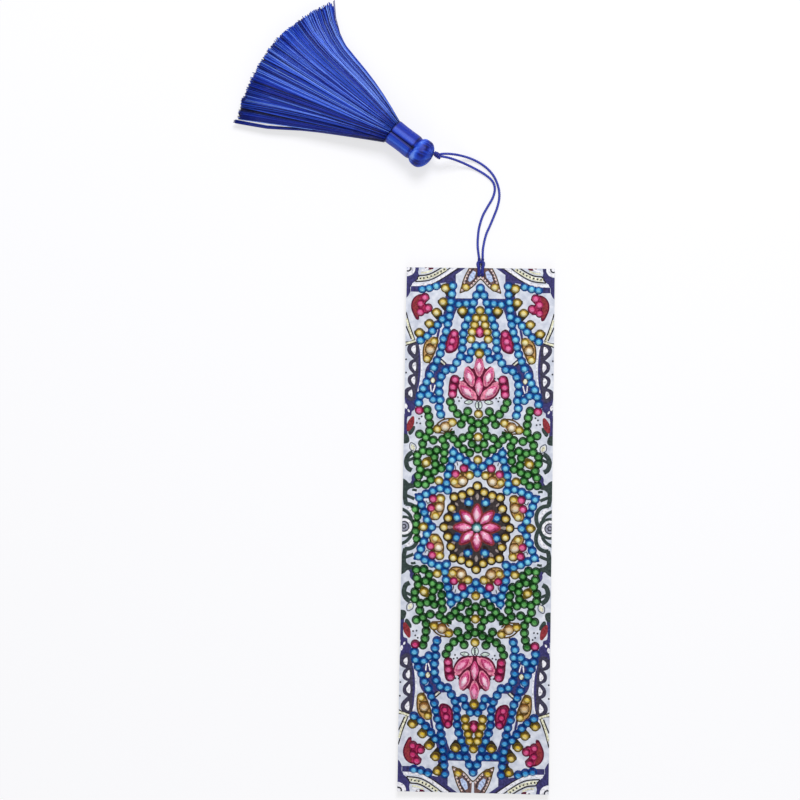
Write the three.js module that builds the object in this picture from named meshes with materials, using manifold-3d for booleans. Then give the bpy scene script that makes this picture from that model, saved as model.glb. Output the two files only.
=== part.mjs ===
// A bookmark decorated with stick-on gems: a stiff leather-backed card, rows of faceted gems in a
// mirrored flower pattern, a doubled cord hitched through a hole at the top, and a silky tassel.
// Millimetres. X runs across the card, Y along it towards the tassel, Z up through it.
// The origin is the centre of the card's back face.
import * as THREE from 'three';
import { mergeVertices } from 'three/addons/utils/BufferGeometryUtils.js';
import Module from 'manifold-3d';

const wasm = await Module();
wasm.setup();

// Card
const cardWidth = 60;
const cardLength = 210;
const backThickness = 0.8;
const boardThickness = 0.5;
const printThickness = 0.3;
const filmThickness = 0.1;
const holeDiameter = 3.5;
const holeInset = 3.75;

// Cord, doubled through the hole
const cordDiameter = 1.1;
const cordClearance = 0.3;
const cordSides = 8;
const legSpacing = 1.4;
const bightReach = 2.6;
const pivotReach = 4;
const hitchSteps = 50;
const strandSteps = 32;

// The gem pattern is drawn in steps, so many across the card and so many along it. The gems are sized
// in the same steps, so that they keep clear of each other on a card of another size.
const acrossSteps = 60;
const alongSteps = 210;
const gemSteps = 3;
const gemHeightSteps = 1.25;
const crystalSteps = 3.6;
const crystalHeightSteps = 1.6;
const petalLengthSteps = 7;
const petalWidthSteps = 3.3;
const petalHeightSteps = 1.7;
const petalRingSteps = 5.5;
const neckWidthSteps = 0.6;
const neckHeightSteps = 0.3;

// Tassel, measured along its own axis. The cord is tied to the side of the head, so the axis runs
// beside the knot, and the head sits closer there because its dome falls back.
const tasselTurn = 143;
const axisOffset = 3.3;
const domeFallback = 0.5;
const knotDiameter = 2.7;
const headLength = 8.2;
const headDiameter = 12.1;
const bindingLength = 10.8;
const bindingDiameter = 10.6;
const bindingWaist = 0.35;
const bindingWall = 0.75;
const rootDiameter = 9.8;
const rootLength = 0.7;
const skirtLength = 61.5;
const skirtSkew = 0.03;
const fanHalfAngle = 29.8;
const fanLean = 3;
const tipThickness = 4.8;
const strandWidth = 0.75;
const strandRings = 10;
const seatGap = 0.3;

const cardTop = backThickness + boardThickness + printThickness + filmThickness;
const cardEnd = cardLength / 2;
const cordRadius = cordDiameter / 2;
const cordLow = -(cordClearance + cordRadius);
const cordHigh = cardTop + cordClearance + cordRadius;
const tableLevel = cordLow - cordRadius;
const legX = legSpacing / 2;

const acrossStep = cardWidth / acrossSteps;
const alongStep = cardLength / alongSteps;
const gemStep = Math.min(acrossStep, alongStep);
const neckWidth = neckWidthSteps * gemStep;
const neckHeight = neckHeightSteps * gemStep;

const leatherTan = 0x8a6a4c;
const boardGrey = 0xb9b4a8;
const paperLavender = 0xd6d9e8;
const filmClear = 0xe6e8f2;
const cordBlue = 0x2840b4;
const tasselBlue = 0x2438b8;
const gemBlue = 0x2f8fe0;
const gemGreen = 0x2f8a34;
const gemGold = 0xd9bd45;
const gemPink = 0xe0508c;
const crystalCream = 0xf0dcb0;
const crystalRose = 0xf08cb0;
const gemAqua = 0x8fd8d4;

const bookmark = new THREE.Group();

function addMesh(parent, name, geometry, colour, roughness) {
  const material = new THREE.MeshStandardMaterial({ color: colour, roughness, metalness: 0 });
  const mesh = new THREE.Mesh(geometry, material);
  mesh.name = name;
  parent.add(mesh);
  return mesh;
}

function weld(geometry) {
  geometry.deleteAttribute('normal');
  geometry.deleteAttribute('uv');
  return mergeVertices(geometry);
}

function toSolid(geometry) {
  const welded = weld(geometry);
  return new wasm.Manifold(new wasm.Mesh({
    numProp: 3,
    vertProperties: new Float32Array(welded.attributes.position.array),
    triVerts: new Uint32Array(welded.index.array),
  }));
}

function fromSolid(solid) {
  const mesh = solid.getMesh();
  const geometry = new THREE.BufferGeometry();
  geometry.setAttribute('position', new THREE.BufferAttribute(mesh.vertProperties, 3));
  geometry.setIndex(new THREE.BufferAttribute(mesh.triVerts, 1));
  return geometry;
}

function fromTriangles(triangles) {
  const geometry = new THREE.BufferGeometry();
  geometry.setAttribute('position', new THREE.Float32BufferAttribute(triangles.flat(2), 3));
  return mergeVertices(geometry);
}

// The card's layers, all pierced by the cord's hole
function cardLayer(thickness) {
  const outline = new THREE.Shape();
  outline.moveTo(-cardWidth / 2, -cardEnd);
  outline.lineTo(cardWidth / 2, -cardEnd);
  outline.lineTo(cardWidth / 2, cardEnd);
  outline.lineTo(-cardWidth / 2, cardEnd);
  outline.closePath();
  const hole = new THREE.Path();
  hole.absarc(0, cardEnd - holeInset, holeDiameter / 2, 0, Math.PI * 2, true);
  outline.holes.push(hole);
  return new THREE.ExtrudeGeometry(outline, { depth: thickness, bevelEnabled: false, curveSegments: 8 });
}

const layers = [
  ['back_cover', backThickness, leatherTan, 0.75],
  ['board_core', boardThickness, boardGrey, 0.9],
  ['print_sheet', printThickness, paperLavender, 0.5],
  ['adhesive_film', filmThickness, filmClear, 0.2],
];
let layerLevel = 0;
for (const [name, thickness, colour, roughness] of layers) {
  addMesh(bookmark, name, cardLayer(thickness), colour, roughness).position.z = layerLevel;
  layerLevel += thickness;
}

// A gem has a flat back, and its facets rise from the outline on the film to one point. Gems that
// stand side by side in a row are joined by a narrow neck, so that a row is one piece.
function round(x, y, across = gemSteps, height = gemHeightSteps) {
  return { x, y, height: height * gemStep, edge: () => (across * gemStep) / 2, corners: null };
}

function crystal(x, y) {
  return round(x, y, crystalSteps, crystalHeightSteps);
}

// A pointed oval gem, its long axis turned by the given degrees from Y
function petal(x, y, turn, length = petalLengthSteps) {
  const long = (length * gemStep) / 2;
  const short = (petalWidthSteps * gemStep) / 2;
  const lead = Math.PI / 2 + THREE.MathUtils.degToRad(turn);
  const roundness = 1.4;
  const edge = (angle) => {
    const along = Math.abs(Math.cos(angle - lead)) / long;
    const across = Math.abs(Math.sin(angle - lead)) / short;
    return (along ** roundness + across ** roundness) ** (-1 / roundness);
  };
  const corners = [];
  for (let i = 0; i < 8; i++) {
    const step = (i * Math.PI) / 4;
    corners.push(lead + Math.atan2(short * Math.sin(step), long * Math.cos(step)));
  }
  return { x, y, height: petalHeightSteps * gemStep, edge, corners };
}

const fullTurn = Math.PI * 2;
const cornerStep = fullTurn / 6;
const positive = (angle) => ((angle % fullTurn) + fullTurn) % fullTurn;

const gemPlace = (gem) => [gem.x * acrossStep, gem.y * alongStep];

// Where each pair of neighbours meets that are drawn closer than the reach
function findNecks(gems, reach) {
  const necks = gems.map(() => []);
  for (let i = 0; i < gems.length; i++) {
    for (let j = i + 1; j < gems.length; j++) {
      const furthest = Math.max(reach, gems[i].ownReach ?? 0, gems[j].ownReach ?? 0);
      if (Math.hypot(gems[j].x - gems[i].x, gems[j].y - gems[i].y) > furthest) continue;
      const [x, y] = gemPlace(gems[i]);
      const [otherX, otherY] = gemPlace(gems[j]);
      const angle = Math.atan2(otherY - y, otherX - x);
      const near = gems[i].edge(angle);
      const share = near / (near + gems[j].edge(angle + Math.PI));
      const middle = [x + (otherX - x) * share, y + (otherY - y) * share];
      const side = [(-Math.sin(angle) * neckWidth) / 2, (Math.cos(angle) * neckWidth) / 2];
      const left = [middle[0] + side[0], middle[1] + side[1]];
      const right = [middle[0] - side[0], middle[1] - side[1]];
      necks[i].push({ angle: positive(angle), first: right, second: left });
      necks[j].push({ angle: positive(angle + Math.PI), first: left, second: right });
    }
  }
  for (const list of necks) list.sort((a, b) => a.angle - b.angle);
  return necks;
}

// Directions of the outline's corners between two necks, or all round a single gem
function cornerAngles(gem, start, gap) {
  if (gem.corners) {
    const nearest = THREE.MathUtils.degToRad(20);
    return gem.corners
      .map((corner) => positive(corner - start))
      .filter((offset) => offset > nearest && offset < gap - nearest)
      .sort((a, b) => a - b)
      .map((offset) => start + offset);
  }
  const count = Math.max(0, Math.round(gap / cornerStep) - 1);
  return Array.from({ length: count }, (_, i) => start + (gap * (i + 1)) / (count + 1));
}

function cornerPoint(gem, angle) {
  const [x, y] = gemPlace(gem);
  const radius = gem.edge(angle);
  return { at: [x + radius * Math.cos(angle), y + radius * Math.sin(angle)] };
}

function gemOutline(gem, necks) {
  if (necks.length === 0) {
    const angles = gem.corners ?? Array.from({ length: 6 }, (_, i) => i * cornerStep);
    return angles.map((angle) => cornerPoint(gem, angle));
  }
  return necks.flatMap((neck, i) => {
    const next = necks[(i + 1) % necks.length].angle;
    const gap = necks.length === 1 ? fullTurn : positive(next - neck.angle);
    const corners = cornerAngles(gem, neck.angle, gap).map((angle) => cornerPoint(gem, angle));
    return [{ at: neck.first, neck }, { at: neck.second, neck }, ...corners];
  });
}

function gemTriangles(gem, necks) {
  const outline = gemOutline(gem, necks);
  const low = (point) => [...point.at, 0];
  const high = (point) => [...point.at, point.neck ? neckHeight : 0];
  const apex = [...gemPlace(gem), gem.height];
  const middle = [...gemPlace(gem), 0];
  const triangles = [];
  outline.forEach((a, i) => {
    const b = outline[(i + 1) % outline.length];
    triangles.push([low(b), low(a), middle], [high(a), high(b), apex]);
    const isNeck = a.neck && a.neck === b.neck && a.at === a.neck.first;
    if (isNeck) return;
    if (b.neck) triangles.push([low(a), low(b), high(b)]);
    if (a.neck) triangles.push([low(a), b.neck ? high(b) : low(b), high(a)]);
  });
  return triangles;
}

function gemRow(gems, reach) {
  const necks = findNecks(gems, reach);
  return fromTriangles(gems.flatMap((gem, i) => gemTriangles(gem, necks[i])));
}

// Every motif is given in steps for the quarter with X and Y positive, and mirrored to its other
// places.
const quarters = [
  ['top_right', 1, 1],
  ['top_left', -1, 1],
  ['bottom_left', -1, -1],
  ['bottom_right', 1, -1],
];

function mirrored(places, signs) {
  const gems = [];
  for (const [sx, sy] of signs) {
    for (const [make, x, y, turn, size] of places) {
      const taken = gems.some((gem) => Math.hypot(gem.x - sx * x, gem.y - sy * y) < 0.01);
      if (!taken) gems.push(make(sx * x, sy * y, sx * sy * (turn ?? 0), size));
    }
  }
  return gems;
}

const plain = (points) => points.map(([x, y]) => [(px, py) => round(px, py), x, y]);

// Gems that stand further from their motif than the rest of it, with a reach of their own
function apart(ownReach, points) {
  return points.map(([x, y]) => [(px, py) => ({ ...round(px, py), ownReach }), x, y]);
}

function addMotif(name, places, signs, colour, reach = 3.55) {
  const mesh = addMesh(bookmark, name, gemRow(mirrored(places, signs), reach), colour, 0.15);
  mesh.position.z = cardTop;
}

function addFour(name, places, colour, reach) {
  for (const [where, sx, sy] of quarters) addMotif(`${name}_${where}`, places, [[sx, sy]], colour, reach);
}

function addTwo(name, places, colour, reach) {
  addMotif(`${name}_top`, places, [[1, 1], [-1, 1]], colour, reach);
  addMotif(`${name}_bottom`, places, [[-1, -1], [1, -1]], colour, reach);
}

const allQuarters = quarters.map(([, sx, sy]) => [sx, sy]);

// The middle flower: one gem, eight petals, a gold ring and an eight-pointed star
addMotif('centre_gem', [[crystal, 0, 0]], [[1, 1]], gemAqua);

const flower = [];
for (let i = 0; i < 8; i++) {
  const angle = (i * Math.PI) / 4;
  const turn = THREE.MathUtils.radToDeg(angle);
  flower.push([petal, -petalRingSteps * Math.sin(angle), petalRingSteps * Math.cos(angle), turn]);
}
addMotif('centre_flower', flower, [[1, 1]], crystalRose, 4.5);

// The ring, and the blue gems that stand inside it between the petals' tips
const goldRing = [[0, 16.6], [2.7, 14.2], [6, 12.9], [9.2, 12.1], [10.1, 7.7], [11.5, 3.7], [13.1, 0]];
const insideRing = [[3.4, 10], [8, 4]];
addMotif('gold_ring', plain([...goldRing, ...insideRing]), allQuarters, gemGold, 4.6);

const starRow = [
  [0, 21.9], [1.9, 24.6], [4.6, 26.6], [7.3, 28.2], [9.8, 30.1], [10.3, 27.1], [11.2, 24], [11.9, 20.95],
  [12.4, 17.8], [11.9, 14.8], [14.9, 15.6], [17.8, 14.5], [20.55, 13.2], [23.2, 11.7], [22.25, 8.8],
  [21.1, 5.85], [19.9, 2.9], [18, 0],
];
const starNotches = [[0, 27.2], [15.5, 18.55], [21.4, 0]];
addMotif('blue_star', plain([...starRow, ...starNotches]), allQuarters, gemBlue, 3.5);

// Buds between the star's points: a crystal with two gold and two pink gems
const upperBud = [[crystal, 6, 18.6], ...plain([[3.2, 20.9], [9.3, 18.2], [5.5, 23.7], [8.8, 21.3]])];
const sideBud = [[crystal, 15.2, 8], ...plain([[14.6, 11.4], [16.5, 4.5], [17.6, 11.2], [18.3, 7.6]])];
addFour('upper_bud', upperBud, crystalCream, 4.2);
addFour('side_bud', sideBud, crystalCream, 4.2);

// The green vine round the star
const vine = [
  [11.45, 50.5], [10.4, 48], [8.45, 45.65], [5.75, 44.1], [4.35, 46.7], [2.95, 43.05], [6.9, 41.5],
  [0, 41.8], [2.4, 39.55], [3.5, 36.85], [6.2, 35.9], [2.4, 33.6], [0, 31.6], [5.9, 31.5], [3.3, 29.9],
  [8.05, 33.5], [9.9, 35.5], [12.2, 37], [14.3, 35.2], [13.2, 32.7], [13.5, 29.9], [13.6, 27],
  [16.5, 30.9], [19.4, 30.1], [22.1, 30.6], [24.3, 28.8], [24.3, 26], [17.5, 28.1], [17, 25.3],
  [22.3, 33.4], [21, 36], [18, 34.85], [23.6, 37.2], [19.6, 38.6], [19.6, 41.55], [20, 44.45],
  [20.75, 47.1], [23.05, 23.15], [23.7, 20.4], [23.9, 17.2], [20.9, 17], [18.7, 19], [20.1, 21.6],
  [17.35, 22.4], [14.6, 23.6],
];
const vineHearts = [...apart(4, [[0, 45.7]]), ...apart(3.65, [[0, 36.4], [20.7, 25.8]])];
addTwo('green_vine', [...plain(vine), ...vineHearts], gemGreen, 3.45);
const edgeRow = [[24.9, 7], [24.1, 4.1], [24.4, 1.2], [24.4, -1.8], [24.2, -4.7]];
addMotif('green_edge_row', plain(edgeRow), [[-1, 1]], gemGreen);
addFour('vine_crystal', [[crystal, 13.35, 40.35], ...plain([[10.5, 42.2], [16.4, 39.4]])], crystalCream, 4);

// Blue rows that frame each half, and the arch that stands over the flower there
const column = [
  [11.2, 97.6], [11.55, 94.3], [11.8, 91.2], [12.2, 88.3], [12.3, 85.2], [12.9, 82.1], [13.5, 79],
  [14.5, 76], [15.1, 72.9], [15.8, 70], [17, 67.2], [18.3, 64.2], [19.8, 61.3], [21, 58.4],
  [22.5, 55.75], [23.5, 52.9], [24.1, 49.8], [23.85, 46.85], [15.2, 84], [17.1, 81.6], [19.1, 79.2],
  [21.2, 76.9], [23.8, 75.3],
];
addFour('blue_column', plain(column), gemBlue);

const canopy = [
  [8.6, 90.2], [5.6, 90.6], [2.7, 90.85], [1.5, 93.85], [0, 96.8], [3.4, 87.6], [4.75, 84.4],
  [5.9, 81.4], [6.6, 78.2], [6.8, 75.2], [6.9, 72.1], [7.6, 69], [9.1, 66.4], [10.7, 63.8],
  [13.5, 63.2], [15.2, 60.8], [15.95, 57.6], [16, 54.3], [15.5, 51.2], [15.95, 48.2], [15.2, 45.3],
  [18.3, 51.4], [20.3, 53.3], [7.1, 87.5],
];
addTwo('blue_canopy', [...plain(canopy), ...apart(5.6, [[5.85, 97.2]])], gemBlue);
addTwo('flower_arch', plain([[1.5, 73.3], [3.3, 70.8], [4.25, 67.9], [0, 70.2]]), gemBlue);
addTwo('gold_arch', plain([[0, 87.6], [1.55, 84.55], [2.15, 81.8], [3.05, 78.95], [3.45, 76]]), gemGold);
addTwo('teardrop', [[petal, 0, 79, 0, 4.4]], gemPink);

// The water lily: five pointed petals
const lily = [
  [petal, 0, 65, 0, 6.6],
  [petal, 3.9, 60.7, -20, 7.2],
  [petal, 0, 56.8, 0, 7.8],
  [petal, 4.9, 54.7, -47, 7.2],
];
addTwo('water_lily', lily, crystalRose, 5.9);

addFour('lily_side_row', plain([[9.6, 59.5], [10.4, 56.5], [10.6, 53.6]]), gemPink);
addFour('pink_pod', plain([[10.25, 78], [11, 75.2], [11.6, 72.4]]), gemPink);

// The tulip in each corner, with the blue row over it and the gold chain below it
const tulip = [[22.4, 92.7], [24, 90.2], [21, 88.4], [24.1, 86.8]];
const cornerRow = [[17.9, 97.5], [20.7, 96.7], [23.5, 96.2]];
const chain = [[14.15, 96.6], [15, 91], [17.6, 86.7], [20.35, 82.15], [24.35, 78.4]];
addFour('tulip', [...plain([...tulip, ...cornerRow]), ...apart(5.7, chain)], gemPink, 3.65);

addFour('side_crystal', [[crystal, 19.9, 71.5], ...plain([[18.4, 74.9], [21, 67.8]])], crystalCream, 4);

// A tube of cord through hand-placed points
function cordTube(points, steps) {
  const section = new THREE.Shape();
  for (let i = 0; i < cordSides; i++) {
    const angle = (i * fullTurn) / cordSides;
    const [x, y] = [cordRadius * Math.cos(angle), cordRadius * Math.sin(angle)];
    if (i === 0) section.moveTo(x, y);
    else section.lineTo(x, y);
  }
  section.closePath();
  const places = points.map((point) => new THREE.Vector3(...point));
  const path = new THREE.CatmullRomCurve3(places, false, 'centripetal');
  return new THREE.ExtrudeGeometry(section, { steps, bevelEnabled: false, extrudePath: path });
}

// The cord's pieces are placed from the middle of the card's top edge.
const cordGroup = new THREE.Group();
cordGroup.position.y = cardEnd;
bookmark.add(cordGroup);

// The hitch: the doubled cord's bight comes up through the hole, lies on the card's face as two legs
// and turns back over its own two ends, which lie behind the card and leave under the bight.
const holeY = -holeInset;
const wallY = holeY + holeDiameter / 2 - cordClearance - cordRadius - 0.15;
const stubY = pivotReach - cordRadius - cordClearance;
const middleZ = cardTop / 2;
const rightHalf = [
  [0, bightReach, 0.8],
  [0.75, bightReach - 0.1, 0.95],
  [1.35, bightReach - 0.6, 1.5],
  [1.4, bightReach - 1.5, 2.3],
  [0.95, bightReach - 2.6, cordHigh],
  [legX, -1.2, cordHigh],
  [legX, wallY + 1.1, cordHigh],
  [legX, wallY + 0.25, cordHigh - 0.45],
  [legX, wallY, middleZ + 0.4],
  [legX, wallY, middleZ - 0.4],
  [legX, wallY + 0.25, cordLow + 0.45],
  [legX, wallY + 1.1, cordLow],
  [legX, -0.5, cordLow],
  [legX, stubY, cordLow],
];
const leftHalf = rightHalf.slice(1).reverse().map(([x, y, z]) => [-x, y, z]);
addMesh(cordGroup, 'cord_hitch', cordTube([...leftHalf, ...rightHalf], hitchSteps), cordBlue, 0.6);

// The two free strands lie on the table and rise to the knot. Their first end is round, because
// the cord folds there.
function addStrand(name, points) {
  const ball = new THREE.SphereGeometry(cordRadius, cordSides, 6).translate(...points[0]);
  const strand = toSolid(cordTube(points, strandSteps)).add(toSolid(ball));
  addMesh(cordGroup, name, fromSolid(strand), cordBlue, 0.6);
}

const rightStrand = [
  [legX, pivotReach, cordLow],
  [0.8, 8.4, cordLow],
  [1.9, 13.9, cordLow],
  [3.4, 17.6, cordLow],
  [5, 21.6, cordLow],
  [6.4, 25.6, cordLow],
  [7.1, 29.4, cordLow],
  [6.8, 33.1, cordLow],
  [5.2, 37.4, cordLow],
  [2.8, 40.6, cordLow],
  [-0.6, 43.3, cordLow],
  [-4.9, 45.3, -0.2],
  [-9.4, 46.2, 1.6],
  [-13.2, 46.3, 3.7],
  [-16.55, 46.2, 4.65],
];
const leftStrand = [
  [-legX, pivotReach, cordLow],
  [-1.4, 9.5, cordLow],
  [-1.2, 15, cordLow],
  [-0.6, 18.3, cordLow],
  [0.6, 22.1, cordLow],
  [2.5, 25.7, cordLow],
  [4.4, 29.2, cordLow],
  [5.2, 32.2, cordLow],
  [5, 34.5, cordLow],
  [3.9, 36.5, cordLow],
  [1.9, 38.3, cordLow],
  [-1.1, 40.2, cordLow],
  [-5, 42.1, -0.2],
  [-9.2, 43.6, 1.6],
  [-13.3, 44.6, 3.7],
  [-16.55, 44.8, 4.65],
];
addStrand('cord_strand_right', rightStrand);
addStrand('cord_strand_left', leftStrand);

// The tassel lies on the table. Its group stands at the knot, with X along the tassel, and the
// group of its body stands beside the knot.
const knotPlace = [-18.2, 45.5];
const axisLevel = tableLevel + headDiameter / 2;
const tassel = new THREE.Group();
tassel.position.set(...knotPlace, axisLevel);
tassel.rotation.z = THREE.MathUtils.degToRad(tasselTurn);
cordGroup.add(tassel);
const tasselBody = new THREE.Group();
tasselBody.position.y = axisOffset;
tassel.add(tasselBody);

const knotRadius = knotDiameter / 2;
const headStart = knotRadius + seatGap - domeFallback;
const headEnd = headStart + headLength;
const bindingStart = headEnd + seatGap;
const bindingEnd = bindingStart + bindingLength;
const rootStart = bindingEnd + seatGap;
const rootEnd = rootStart + rootLength;
const coreRadius = bindingDiameter / 2 - bindingWaist - bindingWall - seatGap;

// A solid turned about the tassel's axis: profile points are [distance along it, radius]
function turned(profile, segments) {
  const points = profile.map(([along, radius]) => new THREE.Vector2(radius, along));
  return new THREE.LatheGeometry(points, segments).rotateZ(-Math.PI / 2);
}

addMesh(tassel, 'tassel_knot', new THREE.SphereGeometry(knotRadius, 12, 8), tasselBlue, 0.6);

const headRadius = headDiameter / 2;
const headProfile = [];
const domeSteps = 7;
for (let i = 0; i <= domeSteps; i++) {
  const angle = (i / domeSteps) * (Math.PI / 2);
  headProfile.push([headStart + (headLength / 2) * (1 - Math.cos(angle)), headRadius * Math.sin(angle)]);
}
headProfile.push([headStart + headLength * 0.68, headRadius * 0.97]);
headProfile.push([headStart + headLength * 0.86, headRadius * 0.91]);
headProfile.push([headEnd, headRadius * 0.82]);
headProfile.push([headEnd, 0]);
addMesh(tasselBody, 'tassel_head', turned(headProfile, 20), tasselBlue, 0.4);

const bindingRadius = bindingDiameter / 2;
const bore = coreRadius + seatGap;
const bindingProfile = [
  [bindingStart, bore],
  [bindingStart, bindingRadius - 0.4],
  [bindingStart + 0.6, bindingRadius],
  [bindingStart + bindingLength / 2, bindingRadius - bindingWaist],
  [bindingEnd - 0.6, bindingRadius],
  [bindingEnd, bindingRadius - 0.4],
  [bindingEnd, bore],
  [bindingStart, bore],
];
addMesh(tasselBody, 'neck_binding', turned(bindingProfile, 20), tasselBlue, 0.35);

// The skirt's strands grow from every second triangle of a net laid over the root's face, ring by
// ring round its middle. Each strand keeps to its own share of the fan, so none crosses another.
const rootRadius = rootDiameter / 2;

function netPoint(ring, index) {
  const angle = ring === 0 ? 0 : (index / (6 * ring)) * fullTurn;
  const radius = (rootRadius * ring) / strandRings;
  return [radius * Math.cos(angle), radius * Math.sin(angle)];
}

function netTriangles() {
  const grown = [];
  const bare = [];
  for (let sextant = 0; sextant < 6; sextant++) {
    for (let ring = 1; ring <= strandRings; ring++) {
      const inner = (i) => netPoint(ring - 1, (sextant * (ring - 1) + i) % Math.max(1, 6 * (ring - 1)));
      const outer = (i) => netPoint(ring, (sextant * ring + i) % (6 * ring));
      for (let i = 0; i < ring; i++) {
        (sextant % 2 ? bare : grown).push([inner(i), outer(i), outer(i + 1)]);
        if (i < ring - 1) (sextant % 2 ? grown : bare).push([inner(i), outer(i + 1), inner(i + 1)]);
      }
    }
  }
  return { grown, bare };
}

const tipSpread = THREE.MathUtils.degToRad(fanHalfAngle);
const tipLean = THREE.MathUtils.degToRad(fanLean);
const tipLevel = tableLevel - axisLevel + tipThickness / 2 + seatGap;

function strandTriangles(corners) {
  const middle = [0, 1].map((k) => (corners[0][k] + corners[1][k] + corners[2][k]) / 3);
  const share = middle[0] / rootRadius;
  const angle = tipLean + tipSpread * share;
  const cut = 1.2 * Math.abs(Math.sin(5 * angle)) - 0.8 * Math.sin(37 * middle[1]);
  const length = skirtLength * (1 + skirtSkew * share) - cut;
  const netSize = rootRadius / strandRings;
  const flatten = tipThickness / rootDiameter;
  const tips = corners.map(([y, z]) => {
    const across = ((y - middle[0]) / netSize) * strandWidth;
    return [
      rootEnd + length * Math.cos(angle) - across * Math.sin(angle),
      middle[0] / 2 + length * Math.sin(angle) + across * Math.cos(angle),
      tipLevel + (middle[1] + 0.9 * (z - middle[1])) * flatten,
    ];
  });
  const roots = corners.map(([y, z]) => [rootEnd, y, z]);
  const triangles = [tips];
  for (let i = 0; i < 3; i++) {
    const next = (i + 1) % 3;
    triangles.push([roots[i], roots[next], tips[next]], [roots[i], tips[next], tips[i]]);
  }
  return triangles;
}

function skirtGeometry() {
  const { grown, bare } = netTriangles();
  const triangles = grown.flatMap(strandTriangles);
  for (const corners of bare) triangles.push(corners.map(([y, z]) => [rootEnd, y, z]));
  const rimCount = 6 * strandRings;
  for (let i = 0; i < rimCount; i++) {
    const [a, b] = [netPoint(strandRings, i), netPoint(strandRings, (i + 1) % rimCount)];
    triangles.push([[rootEnd, ...a], [rootStart, ...a], [rootStart, ...b]]);
    triangles.push([[rootEnd, ...a], [rootStart, ...b], [rootEnd, ...b]]);
    triangles.push([[rootStart, 0, 0], [rootStart, ...b], [rootStart, ...a]]);
  }
  return fromTriangles(triangles);
}

const coreLength = rootEnd - rootLength / 2 - bindingStart;
const core = new THREE.CylinderGeometry(coreRadius, coreRadius, coreLength, 16)
  .rotateZ(-Math.PI / 2)
  .translate(bindingStart + coreLength / 2, 0, 0);
const skirt = toSolid(skirtGeometry()).add(toSolid(core));
addMesh(tasselBody, 'tassel_skirt', fromSolid(skirt), tasselBlue, 0.35);

export default bookmark;
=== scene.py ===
import random
from math import acos, atan2, cos, degrees, exp, hypot, pi, radians, sin, sqrt

import bmesh
import bpy
from mathutils import Matrix, Vector
from mathutils.geometry import interpolate_bezier


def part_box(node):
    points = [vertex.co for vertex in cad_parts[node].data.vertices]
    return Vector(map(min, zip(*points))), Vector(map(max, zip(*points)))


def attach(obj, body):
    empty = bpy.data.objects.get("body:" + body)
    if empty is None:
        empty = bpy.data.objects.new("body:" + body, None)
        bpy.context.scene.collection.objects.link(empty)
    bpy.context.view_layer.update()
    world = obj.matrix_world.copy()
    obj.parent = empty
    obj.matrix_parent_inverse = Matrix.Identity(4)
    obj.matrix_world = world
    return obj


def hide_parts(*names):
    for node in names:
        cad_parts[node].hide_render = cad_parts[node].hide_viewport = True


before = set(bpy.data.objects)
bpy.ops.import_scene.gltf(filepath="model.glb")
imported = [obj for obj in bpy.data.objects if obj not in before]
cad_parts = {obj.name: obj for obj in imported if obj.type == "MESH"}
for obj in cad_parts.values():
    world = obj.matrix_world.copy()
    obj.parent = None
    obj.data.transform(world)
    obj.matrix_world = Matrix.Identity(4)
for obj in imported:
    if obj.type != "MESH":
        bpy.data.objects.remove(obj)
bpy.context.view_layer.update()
mm = 0.001
# The signs of x and y that mirror a quarter of the pattern to all four
quarters = ((1, 1), (-1, 1), (-1, -1), (1, -1))


def addObject(name, data):
    added = bpy.data.objects.new(name, data)
    bpy.context.scene.collection.objects.link(added)
    return added


# The camera looks almost straight down, as the photograph was taken
view = {"lens": 89.44, "sensorWidth": 36, "nearest": 0.01, "place": (0.0059, -0.0167, 0.8),
        "turn": (4.88, 2.61, 1.06)}
cameraData = bpy.data.cameras.new("bookmarkCamera")
cameraData.lens = view["lens"]
cameraData.sensor_width = view["sensorWidth"]
cameraData.clip_start = view["nearest"]
camera = addObject("bookmarkCamera", cameraData)
camera.location = view["place"]
camera.rotation_euler = [radians(a) for a in view["turn"]]
bpy.context.scene.camera = camera


# A colour as seen on a screen, 0 to 255, brought to the shader's own scale
def ink(red, green, blue):
    def level(c):
        c /= 255
        return c / 12.92 if c <= 0.04045 else ((c + 0.055) / 1.055) ** 2.4
    return (level(red), level(green), level(blue), 1)


# Sockets take plain values, or a link where the value is an output of another node
def fillSockets(tree, node, values):
    for key, value in values.items():
        if isinstance(value, bpy.types.NodeSocket):
            tree.links.new(value, node.inputs[key])
        else:
            node.inputs[key].default_value = value


def addNode(tree, kind, values):
    node = tree.nodes.new(kind)
    fillSockets(tree, node, values)
    return node


# One sum with its values in the order of the node's sockets
def mathOf(tree, operation, *values):
    node = tree.nodes.new("ShaderNodeMath")
    node.operation = operation
    fillSockets(tree, node, dict(enumerate(values)))
    return node.outputs["Value"]


def noiseOf(tree, scale, detail=3, stretch=(1, 1, 1)):
    place = tree.nodes.new("ShaderNodeTexCoord").outputs["Object"]
    if stretch != (1, 1, 1):
        place = addNode(tree, "ShaderNodeMapping", {"Vector": place, "Scale": stretch}).outputs["Vector"]
    noise = addNode(tree, "ShaderNodeTexNoise", {"Vector": place, "Scale": scale, "Detail": detail})
    return noise.outputs["Fac"]


# Each stop is a place from 0 to 1 with a screen colour, or with one number for a plain level
def rampOf(tree, source, stops):
    ramp = addNode(tree, "ShaderNodeValToRGB", {"Fac": source})
    elements = ramp.color_ramp.elements
    stops = [(place, ink(*tone) if isinstance(tone, tuple) else (tone, tone, tone, 1))
             for place, tone in stops]
    for element, (place, colour) in zip(elements, (stops[0], stops[-1])):
        element.position = place
        element.color = colour
    for place, colour in stops[1:-1]:
        elements.new(place).color = colour
    return ramp.outputs["Color"]


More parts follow.
